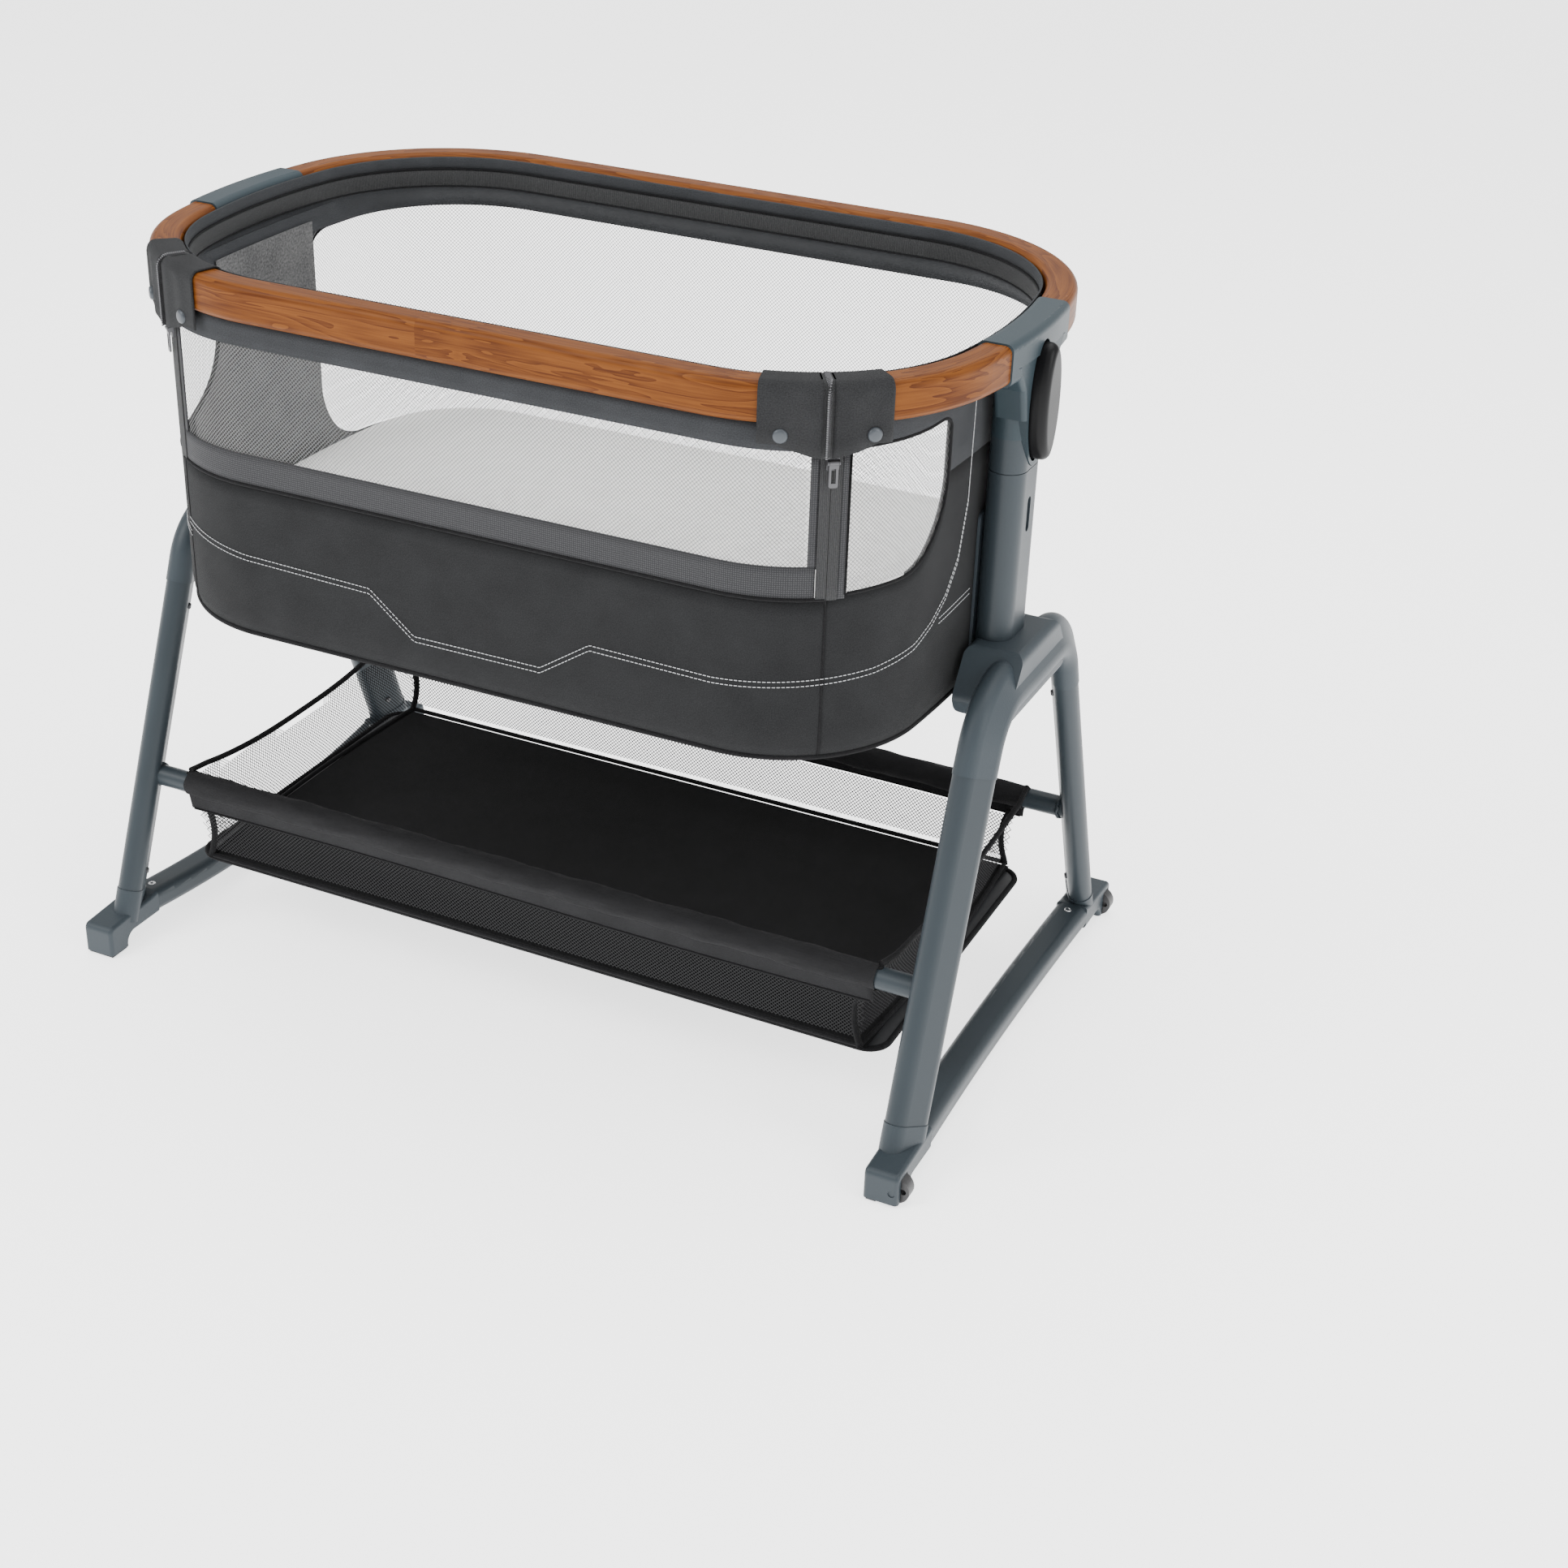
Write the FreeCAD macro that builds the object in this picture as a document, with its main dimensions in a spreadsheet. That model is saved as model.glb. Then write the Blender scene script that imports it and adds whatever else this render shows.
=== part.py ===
import FreeCAD, Part
import math
import os

import Sketcher
from FreeCAD import Placement, Rotation, Vector

# Bedside sleeper crib: two end stands joined by two crossbars that hold a storage basket,
# and a bassinet that climbs the posts of the stands. X runs along the crib, Y across it
# from the drop side (-Y) to the back, and Z up from the floor.

os.makedirs("parts", exist_ok=True)
doc = FreeCAD.newDocument("Crib")
sheet = doc.addObject("Spreadsheet::Sheet", "Sizes")

# Driving dimensions in millimetres and degrees.
sizes = {
    "post_centre": 414.5, "foot_out": 33, "foot_width": 35, "foot_reach": 302, "foot_block": 28,
    "foot_top": 36, "foot_edge": 4, "foot_nose": 7, "foot_arch": 11, "foot_step": 2,
    "pad_height": 3, "pad_inset": 2.5, "pad_wheel_gap": 0.4,
    "rail_width": 35, "rail_height": 26, "rail_wall": 1.6, "rail_short": 80,
    "rail_end_height": 29, "rail_edge": 9, "rail_dip": 9, "rail_bow": 8,
    "wheel_radius": 14.5, "wheel_thickness": 13, "wheel_lift": 1, "wheel_proud": 8, "wheel_spokes": 5,
    "wheel_gap": 1, "wheel_cheek": 7, "axle_radius": 2.5, "axle_clearance": 0.05, "axle_root": 3,
    "leg_long": 46, "leg_short": 25, "leg_wall": 1.6, "leg_turn": 60,
    "leg_low_in": 1.1, "leg_low_set": 59, "leg_low_z": 54.5,
    "leg_top_out": 29.2, "leg_top_y": 121.9, "leg_rise": 308.5,
    "casting_step": 0.8, "collar_length": 34, "spigot_length": 42, "fit_clearance": 0.2,
    "snap_radius": 3.2, "snap_hole_clearance": 0.3, "snap_proud": 2.4, "snap_flange": 5.5,
    "snap_flange_thick": 1.2, "snap_dome": 0.8, "snap_low": 20, "snap_high": 25,
    "arch_rise": 63, "arch_bend": 62,
    "web_below": 34, "web_above": 29, "web_half": 66, "web_in": 44.7, "web_out": 13.3,
    "web_slope": 20, "web_edge": 9, "socket_web": 16,
    "sleeve_thick": 36, "sleeve_long": 62, "sleeve_wall": 2.6,
    "collar_height": 33, "collar_groove": 0.8,
    "window_width": 8, "window_height": 34, "window_drop": 78,
    "post_gap": 0.3, "post_wall": 2, "post_rise": 38,
    "latch_rise": 24, "latch_radius": 4, "latch_gap": 0.08, "latch_length": 20, "latch_boss": 3,
    "latch_boss_depth": 9, "height_steps": 4, "height_step": 40,
    "rim_out": 19.5, "rim_half_y": 272, "rim_top": 752, "rim_width": 30, "rim_height": 36,
    "rim_wall": 1.5, "rim_end_radius": 600, "rim_end_angle": 10, "rim_edge": 7,
    "saddle_half": 71.7, "saddle_skin": 1.6, "saddle_height": 39,
    "hub_drop": 100, "hub_throat": 20, "hub_shoulder": 62, "hub_waist": 40, "hub_bend_drop": 50,
    "hub_step": 0.6, "hub_crease_drop": 23, "hub_edge": 5,
    "recess_drop": 69, "recess_half_y": 24, "recess_half_z": 57, "recess_depth": 21.4,
    "recess_rim": 4, "recess_plate": 9, "notch_clearance": 0.5,
    "button_gap": 2.5, "button_proud": 14.6, "button_thick": 24,
    "button_edge": 8, "button_travel": 6, "stem_radius": 5, "stem_depth": 13, "stem_room": 2,
    "tub_in": 21.5, "tub_half_y": 262, "tub_end_radius": 1500, "tub_end_angle": 5,
    "cloth": 3, "tub_bottom": 400, "tub_drop": 2, "skirt_height": 156, "seam_gap": 0.5, "hem_width": 10,
    "zip_x": 335, "zip_gap": 0.6, "band_drop": 5, "band_gap": 0.4,
    "frame_tube": 14, "frame_height": 8, "frame_edge": 2, "board_thick": 8, "bed_gap": 0.5,
    "mattress_inset": 9, "mattress_height": 50, "mattress_crown": 8, "mattress_edge": 9,
    "bracket_half": 24, "bracket_thick": 4, "bracket_rise": 175, "bracket_drop": 12, "bracket_reach": 30,
    "bracket_boss": 7,
    "cover_inward": 54, "cover_outward": 43, "cover_skin": 2.2, "cover_gap": 0.3, "cover_skirt": 23,
    "slider_width": 11, "slider_height": 15, "slider_thick": 3, "slider_gap": 2, "slider_edge": 1.5,
    "lug_wall": 0.8, "lug_thick": 1.2, "pull_length": 22, "pull_width": 8, "pull_thick": 1.6,
    "pull_edge": 2, "pull_frame": 2, "pull_foot": 4, "pull_head": 5, "pull_eye": 0.9,
    "pull_pin": 1.2, "pull_clearance": 0.05,
    "bar_height": 172, "bar_radius": 11, "bar_wall": 1.5,
    "basket_short": 54.4, "basket_end_in": 6, "basket_half_y": 194, "basket_cloth": 2.5,
    "basket_gap": 0.3, "basket_floor": 84, "basket_end_height": 84, "basket_corner": 0.5, "basket_board": 3,
    "board_long": 12, "board_in": 4, "board_corner": 22,
}
# Places that follow from them, each from the piece that it goes with.
places = {
    "foot_centre": "post_centre + foot_out",
    "wheel_reach": "foot_centre + foot_width / 2 + wheel_proud",
    "rail_half": "foot_reach - rail_short",
    "leg_low_x": "foot_centre - leg_low_in",
    "leg_low_y": "foot_reach - leg_low_set",
    "leg_top_x": "post_centre + leg_top_out",
    "leg_top_z": "leg_low_z + leg_rise",
    "arch_centre": "leg_top_z + arch_rise",
    "web_low": "arch_centre - web_below",
    "web_top": "arch_centre + web_above",
    "web_inner": "leg_top_x - web_in",
    "web_outer": "leg_top_x + web_out",
    "socket_floor": "web_low + socket_web",
    "post_low": "socket_floor + post_rise",
    "latch_height": "post_low + latch_rise",
    "rim_half_x": "post_centre + rim_out",
    "collar_top": "rim_top - hub_drop",
    "sleeve_seam": "collar_top - collar_height",
    "window_centre": "collar_top - window_drop",
    "hub_outer": "rim_half_x - hub_step",
    "hub_bend": "rim_top - hub_bend_drop",
    "hub_crease": "rim_top - hub_crease_drop",
    "recess_centre": "rim_top - recess_drop",
    "recess_floor": "hub_outer - recess_depth",
    "button_half_y": "recess_half_y - button_gap",
    "button_half_z": "recess_half_z - button_gap",
    "button_outer": "hub_outer + button_proud",
    "button_inner": "button_outer - button_thick",
    "tub_half_x": "post_centre - tub_in",
    "tub_top": "rim_top - rim_height - tub_drop",
    "seam_height": "tub_bottom + skirt_height",
    "band_top": "rim_top - band_drop",
    "bracket_top": "tub_bottom + bracket_rise",
    "cover_inner_x": "zip_x - cover_inward",
    "cover_outer_x": "zip_x + cover_outward",
    "cover_low": "rim_top - rim_height - cover_skirt",
    "slider_top": "cover_low - slider_gap",
    "basket_half_x": "leg_low_x - basket_short",
    "basket_end_x": "basket_half_x - basket_end_in",
    "basket_end_top": "basket_floor + basket_end_height",
    "board_half_x": "basket_end_x + board_long",
    "board_half_y": "basket_half_y - board_in",
}
for number, (alias, value) in enumerate([*sizes.items(), *places.items()], start=1):
    sheet.set("A%d" % number, alias)
    sheet.set("B%d" % number, str(value) if alias in sizes else "=" + value)
    sheet.setAlias("B%d" % number, alias)
doc.recompute()


def size(alias):
    """Value of one cell of the sheet."""
    return float(sheet.get(alias))


def bind(thing, **expressions):
    """Bind properties to cells; a double underscore in a name stands for a dot."""
    for name, expression in expressions.items():
        thing.setExpression(name.replace("__", "."), expression)


def body(label):
    new = doc.addObject("PartDesign::Body", label)
    new.Label = label
    return new


def sketch_on(owner, role, name="Outline"):
    """Sketch attached to one of the origin planes of its own body."""
    plane = next(item for item in owner.Origin.OriginFeatures if item.Role == role)
    new = owner.newObject("Sketcher::SketchObject", name)
    new.AttachmentSupport = [(plane, "")]
    new.MapMode = "FlatFace"
    return new


def pad(owner, outline, length, midplane=False, reverse=False):
    new = owner.newObject("PartDesign::Pad", "Pad")
    new.Profile = outline
    new.Midplane = midplane
    new.Reversed = reverse
    bind(new, Length=length)
    outline.Visibility = False
    return new


def pocket(owner, outline, length, midplane=True, reverse=False):
    new = owner.newObject("PartDesign::Pocket", "Pocket")
    new.Profile = outline
    new.Midplane = midplane
    new.Reversed = reverse
    bind(new, Length=length)
    outline.Visibility = False
    return new


def circle(outline, radius, x_value=0.0, y_value=0.0):
    """Circle whose radius follows an expression."""
    index = outline.addGeometry(Part.Circle(Vector(x_value, y_value, 0), Vector(0, 0, 1), 1.0))
    name = "round%d" % index
    outline.addConstraint(Sketcher.Constraint("Radius", index, 1.0))
    outline.renameConstraint(outline.ConstraintCount - 1, name)
    bind(outline, **{"Constraints__" + name: radius})
    return index


def stadium(outline, long_size, short_size):
    """Slot-shaped loop round the sketch's origin, long along its first axis."""
    half = 10.0
    first = outline.addGeometry([
        Part.ArcOfCircle(Part.Circle(Vector(half, 0, 0), Vector(0, 0, 1), 5.0),
                         -math.pi / 2, math.pi / 2),
        Part.LineSegment(Vector(half, 5, 0), Vector(-half, 5, 0)),
        Part.ArcOfCircle(Part.Circle(Vector(-half, 0, 0), Vector(0, 0, 1), 5.0),
                         math.pi / 2, 3 * math.pi / 2),
        Part.LineSegment(Vector(-half, -5, 0), Vector(half, -5, 0)),
    ])[0]
    right, over, left, under = range(first, first + 4)
    outline.addConstraint([
        Sketcher.Constraint("Tangent", right, 2, over, 1),
        Sketcher.Constraint("Tangent", over, 2, left, 1),
        Sketcher.Constraint("Tangent", left, 2, under, 1),
        Sketcher.Constraint("Tangent", under, 2, right, 1),
        Sketcher.Constraint("Horizontal", over),
        Sketcher.Constraint("Equal", right, left),
        Sketcher.Constraint("Symmetric", right, 3, left, 3, -1, 1),
        Sketcher.Constraint("Radius", right, 5.0),
        Sketcher.Constraint("DistanceX", left, 3, right, 3, 2 * half),
    ])
    count = outline.ConstraintCount
    for offset, name, expression in ((2, "corner", "(%s) / 2" % short_size),
                                     (1, "spread", "(%s) - (%s)" % (long_size, short_size))):
        label = "%s%d" % (name, first)
        outline.renameConstraint(count - offset, label)
        bind(outline, **{"Constraints__" + label: expression})


def shaped(label, shape):
    """Sub-part whose shape is built with Part's own functions."""
    new = doc.addObject("Part::Feature", label)
    new.Label = label
    new.Shape = shape
    return new


def oval_wire(half_x, half_y, end_radius, end_angle, level):
    """Closed outline of four corner arcs, two end arcs and two straight sides."""
    angle = math.radians(end_angle)
    corner = (half_y - end_radius * math.sin(angle)) / (1 - math.sin(angle))
    end_centre = half_x - end_radius
    corner_x = end_centre + (end_radius - corner) * math.cos(angle)
    corner_y = (end_radius - corner) * math.sin(angle)

    def around(centre_x, centre_y, radius, turn):
        return Vector(centre_x + radius * math.cos(turn), centre_y + radius * math.sin(turn), level)

    right = Part.Arc(around(end_centre, 0, end_radius, -angle), Vector(half_x, 0, level),
                     around(end_centre, 0, end_radius, angle))
    middle = (angle + math.pi / 2) / 2
    upper = Part.Arc(around(corner_x, corner_y, corner, angle),
                     around(corner_x, corner_y, corner, middle),
                     Vector(corner_x, half_y, level))
    edges = [right.toShape(), upper.toShape()]
    edges.append(Part.LineSegment(Vector(corner_x, half_y, level),
                                  Vector(-corner_x, half_y, level)).toShape())
    for shape in (edges[1], edges[0]):
        edges.append(shape.mirror(Vector(), Vector(1, 0, 0)))
    edges.append(edges[1].mirror(Vector(), Vector(1, 0, 0)).mirror(Vector(), Vector(0, 1, 0)))
    edges.append(edges[2].mirror(Vector(), Vector(0, 1, 0)))
    edges.append(edges[1].mirror(Vector(), Vector(0, 1, 0)))
    return Part.Wire(Part.__sortEdges__(edges))


def rim_wire(inset, level):
    """Outline of the rim, moved inward by inset."""
    return oval_wire(size("rim_half_x") - inset, size("rim_half_y") - inset,
                     size("rim_end_radius") - inset, size("rim_end_angle"), level)


def tub_wire(inset, level):
    """Outline of the cloth tub, moved inward by inset."""
    return oval_wire(size("tub_half_x") - inset, size("tub_half_y") - inset,
                     size("tub_end_radius") - inset, size("tub_end_angle"), level)


def ring(wires, low, high, outer, inner):
    """Upright wall between two insets of one outline."""
    rise = Vector(0, 0, high - low)
    slab = Part.Face(wires(outer, low)).extrude(rise)
    return slab.cut(Part.Face(wires(inner, low)).extrude(rise)) if inner else slab


def level_edge(edge):
    return edge.BoundBox.ZLength < 0.001


def box(low, high):
    low, high = Vector(*low), Vector(*high)
    span = high - low
    return Part.makeBox(span.x, span.y, span.z, low)


def mirrored(shape, sign):
    """The same shape at the other end of the crib where sign is negative."""
    return shape if sign > 0 else shape.mirror(Vector(), Vector(1, 0, 0))


def rounded(shape, radius, wanted):
    """Fillet the edges that wanted picks."""
    return shape.makeFillet(radius, [edge for edge in shape.Edges if wanted(edge)])


ends = {"left": -1, "right": 1}
sides = {"front": -1, "back": 1}
far = 2 * size("rim_top")  # past every face of the crib, for cutting boxes
near = 0.5  # how close an edge lies to a face to count as part of it
mid_arc = 1 - math.cos(math.pi / 4)  # share of its radius that a quarter round leaves at its middle


def leg_placement(end, side):
    """Frame of a leg: origin at its lower seam, Z up the tube, X along the section's long axis."""
    along, across = ends[end], sides[side]
    low = Vector(along * size("leg_low_x"), across * size("leg_low_y"), size("leg_low_z"))
    top = Vector(along * size("leg_top_x"), across * size("leg_top_y"), size("leg_top_z"))
    axis = (top - low).normalize()
    turn = math.radians(size("leg_turn"))
    short = Vector(-along * math.sin(turn), -across * math.cos(turn), 0)
    long_axis = short.cross(axis).normalize()
    return Placement(low, Rotation(long_axis, Vector(), axis, "ZXY"))


def leg_length():
    return math.sqrt((size("leg_top_x") - size("leg_low_x")) ** 2
                     + (size("leg_top_y") - size("leg_low_y")) ** 2 + size("leg_rise") ** 2)


def slot_face(long_size, short_size, level=0.0):
    """Flat stadium round the Z axis, long along X."""
    radius, half = short_size / 2, (long_size - short_size) / 2
    edges = [
        Part.Arc(Vector(half, -radius, level), Vector(half + radius, 0, level),
                 Vector(half, radius, level)).toShape(),
        Part.LineSegment(Vector(half, radius, level), Vector(-half, radius, level)).toShape(),
        Part.Arc(Vector(-half, radius, level), Vector(-half - radius, 0, level),
                 Vector(-half, -radius, level)).toShape(),
        Part.LineSegment(Vector(-half, -radius, level), Vector(half, -radius, level)).toShape(),
    ]
    return Part.Face(Part.Wire(edges))


def slot_bar(long_size, short_size, low, high):
    return slot_face(long_size, short_size, low).extrude(Vector(0, 0, high - low))


def snap_levels():
    return {"low": size("snap_low"), "high": leg_length() - size("snap_high")}


def snap_cut(level, radius):
    """Straight cut along the button's axis, from inside the leg out through its inner face."""
    return Part.makeCylinder(radius, size("leg_short"), Vector(0, 0, level), Vector(0, 1, 0))


def leg(end, side):
    """Hollow oval leg with a hole near each end for a spring button."""
    new = body("leg_%s_%s" % (side, end))
    outline = sketch_on(new, "XY_Plane")
    stadium(outline, "Sizes.leg_long", "Sizes.leg_short")
    stadium(outline, "Sizes.leg_long - 2 * Sizes.leg_wall", "Sizes.leg_short - 2 * Sizes.leg_wall")
    pad(new, outline, "sqrt((Sizes.leg_top_x - Sizes.leg_low_x) ^ 2"
        " + (Sizes.leg_top_y - Sizes.leg_low_y) ^ 2 + Sizes.leg_rise ^ 2)")
    for name, level in snap_levels().items():
        hole = sketch_on(new, "XZ_Plane", "Hole_" + name)
        circle(hole, "Sizes.snap_radius + Sizes.snap_hole_clearance", 0.0, level)
        pocket(new, hole, "Sizes.leg_short", midplane=False)
    new.Placement = leg_placement(end, side)
    return new


def snap_button(end, side, name):
    """Spring button of a leg: a domed pin behind the tube wall, held in by its flange."""
    inner = size("leg_short") / 2 - size("leg_wall") - size("fit_clearance")
    outer = size("leg_short") / 2 + size("snap_proud")
    flange = size("snap_flange_thick")
    dome, radius = size("snap_dome"), size("snap_radius")
    points = [(0, inner - flange), (size("snap_flange"), inner - flange), (size("snap_flange"), inner),
              (radius, inner), (radius, outer - dome), (radius - dome, outer), (0, outer)]
    new = body("snap_%s_%s_%s" % (name, side, end))
    outline = sketch_on(new, "XY_Plane")
    closed = points + points[:1]
    for start, stop in zip(closed, closed[1:]):
        outline.addGeometry(Part.LineSegment(Vector(start[0], start[1], 0), Vector(stop[0], stop[1], 0)))
    turned = new.newObject("PartDesign::Revolution", "Turned")
    turned.Profile = outline
    turned.ReferenceAxis = (outline, ["V_Axis"])
    turned.Angle = 360
    new.Placement = leg_placement(end, side).multiply(
        Placement(Vector(0, 0, snap_levels()[name]), Rotation()))
    return new


def spigot(low, high):
    """Inner tongue that holds a leg tube, with room for the spring button."""
    clear = 2 * (size("leg_wall") + size("fit_clearance"))
    return slot_bar(size("leg_long") - clear, size("leg_short") - clear, low, high)


def foot(end, side):
    """Foot casting: block over the pad, arm to the base rail, and the collar that takes the leg."""
    across = sides[side]
    reach, top, rail_end = size("foot_reach"), size("foot_top"), size("rail_half")
    block = reach - size("foot_block")
    low = size("pad_height")
    rail_low = size("rail_end_height") - size("rail_height") / 2
    rail_top = rail_low + size("rail_height")
    nose, arch, step = size("foot_nose"), size("foot_arch"), size("foot_step")

    def at(reach_y, level):
        return Vector(0, across * reach_y, level)

    edges = [
        Part.LineSegment(at(block, low), at(reach, low)),
        Part.LineSegment(at(reach, low), at(reach, top - nose)),
        Part.Arc(at(reach, top - nose), at(reach - mid_arc * nose, top - mid_arc * nose), at(reach - nose, top)),
        Part.LineSegment(at(reach - nose, top), at(rail_end + arch, rail_top - step)),
        Part.LineSegment(at(rail_end + arch, rail_top - step), at(rail_end, rail_top)),
        Part.LineSegment(at(rail_end, rail_top), at(rail_end, rail_low)),
        Part.LineSegment(at(rail_end, rail_low), at(block - arch, rail_low)),
        Part.Arc(at(block - arch, rail_low), at(block - mid_arc * arch, rail_low - mid_arc * arch), at(block, low)),
    ]
    outline = Part.Wire([edge.toShape() for edge in edges])
    width = size("foot_width")
    casting = Part.Face(outline).extrude(Vector(width, 0, 0))
    casting = rounded(casting, size("foot_edge"), lambda edge: abs(edge.CenterOfMass.z - low) > near
                      and abs(edge.CenterOfMass.x - width / 2) > width / 2 - near
                      and abs(abs(edge.CenterOfMass.y) - rail_end) > near)
    casting.translate(Vector(ends[end] * size("foot_centre") - width / 2, 0, 0))
    place = leg_placement(end, side)
    collar = slot_bar(size("leg_long") + 2 * size("casting_step"),
                      size("leg_short") + 2 * size("casting_step"), -size("collar_length"), 0)
    tongue = spigot(-1, size("spigot_length"))
    tongue = tongue.cut(snap_cut(size("snap_low"), size("snap_flange") + 1))
    for piece in (collar, tongue):
        piece.transformShape(place.toMatrix())
    casting = casting.fuse([collar, tongue])
    keep = box((-far, -reach, low), (far, reach, far))
    casting = casting.common(keep)
    if ends[end] > 0:
        pocket_box, axle = wheel_room(side)
        casting = casting.cut(pocket_box).fuse(axle)
        centre, deep = wheel_centre(), size("casting_step")
        dimple = Part.makeCylinder(size("axle_radius") + size("wheel_gap"), 2 * deep,
                                   Vector(centre.x, across * (reach - deep), centre.z), Vector(0, across, 0))
        casting = casting.cut(dimple)
    return shaped("foot_%s_%s" % (side, end), casting.removeSplitter())


def wheel_centre():
    return Vector(size("wheel_reach") - size("wheel_radius"), 0, size("wheel_radius") + size("wheel_lift"))


def wheel_span():
    """Distances from the middle plane of the crib to the two faces of a wheel."""
    outer = size("foot_reach") - size("wheel_cheek") - size("wheel_gap")
    return outer - size("wheel_thickness"), outer


def wheel_room(side):
    """Pocket of a wheeled foot and the axle that crosses it."""
    across = sides[side]
    inner, outer = wheel_span()
    gap = size("wheel_gap")
    centre = wheel_centre()
    radius = size("wheel_radius") + gap
    start = Vector(centre.x, across * (inner - gap), centre.z)
    drum = Part.makeCylinder(radius, outer - inner + 2 * gap, start, Vector(0, across, 0))
    low_y, high_y = sorted((across * (inner - gap), across * (outer + gap)))
    mouth = box((centre.x - radius, low_y, 0), (centre.x + 2 * radius, high_y, centre.z))
    root = gap + size("axle_root")
    axle_start = Vector(centre.x, across * (inner - root), centre.z)
    axle = Part.makeCylinder(size("axle_radius"), outer - inner + 2 * root, axle_start, Vector(0, across, 0))
    return drum.fuse(mouth), axle


def wheel(side):
    """Spoked castor wheel turning on the axle of a right-hand foot."""
    across = sides[side]
    inner, outer = wheel_span()
    new = body("wheel_%s" % side)
    outline = sketch_on(new, "XZ_Plane")
    circle(outline, "Sizes.wheel_radius")
    circle(outline, "Sizes.axle_radius + Sizes.axle_clearance")
    pad(new, outline, "Sizes.wheel_thickness", midplane=True)
    gaps = sketch_on(new, "XZ_Plane", "Gaps")
    middle = (size("wheel_radius") + size("axle_radius")) / 2
    spokes = int(size("wheel_spokes"))
    for step in range(spokes):
        turn = 2 * math.pi * step / spokes
        circle(gaps, "(Sizes.wheel_radius - Sizes.axle_radius) / 4",
               middle * math.cos(turn), middle * math.sin(turn))
    pocket(new, gaps, "Sizes.wheel_thickness * 2")
    centre = wheel_centre()
    new.Placement = Placement(Vector(centre.x, across * (inner + outer) / 2, centre.z), Rotation())
    return new


def floor_pad(end, side):
    """Rubber pad under a foot block; a wheeled foot keeps it clear of the wheel."""
    across = sides[side]
    inset = size("pad_inset")
    inner = size("foot_centre") - size("foot_width") / 2 + inset
    outer = size("foot_centre") + size("foot_width") / 2 - inset
    if ends[end] > 0:
        outer = wheel_centre().x - size("wheel_radius") - size("wheel_gap") - size("pad_wheel_gap")
    new = doc.addObject("Part::Box", "pad_%s_%s" % (side, end))
    new.Label = new.Name
    bind(new, Width="Sizes.foot_block - 2 * Sizes.pad_inset", Height="Sizes.pad_height")
    new.Length = outer - inner
    low_x = inner if ends[end] > 0 else -outer
    low_y = size("foot_reach") - size("foot_block") + inset
    if across < 0:
        low_y = -size("foot_reach") + inset
    new.Placement = Placement(Vector(low_x, low_y, 0), Rotation())
    return new


def rounded_bar(width, height, corner, length):
    """Bar along Z with a rounded rectangular section, wide along X."""
    bar = box((-width / 2, -height / 2, 0), (width / 2, height / 2, length))
    return rounded(bar, corner, lambda edge: not level_edge(edge))


def rail(end):
    """Base rail between the two feet of a stand: a flattened tube that dips and bows inward."""
    along = ends[end]
    half, level = size("rail_half"), size("rail_end_height")
    centre = along * size("foot_centre")
    start, stop = Vector(centre, -half, level), Vector(centre, half, level)
    middle = Vector(centre - along * size("rail_bow"), 0, level - size("rail_dip"))
    arc = Part.Arc(start, middle, stop).toShape()
    lead = arc.tangentAt(arc.FirstParameter) * size("rail_width") / 2
    trail = arc.tangentAt(arc.LastParameter) * size("rail_width") / 2
    path = Part.Wire([Part.LineSegment(start - lead, start).toShape(), arc,
                      Part.LineSegment(stop, stop + trail).toShape()])
    turned = Placement(start - lead, Rotation(Vector(1, 0, 0), Vector(), lead, "ZXY"))
    tubes = []
    for wall in (0.0, size("rail_wall")):
        bar = rounded_bar(size("rail_width") - 2 * wall, size("rail_height") - 2 * wall,
                          size("rail_edge") - wall, 1)
        wire = min(bar.Faces, key=lambda face: face.CenterOfMass.z).OuterWire
        wire.Placement = turned
        tubes.append(path.makePipeShell([wire], True, False))
    tube = tubes[0].cut(tubes[1]).common(box((-far, -half, 0), (far, half, far)))
    return shaped("rail_%s" % end, tube)


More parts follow.
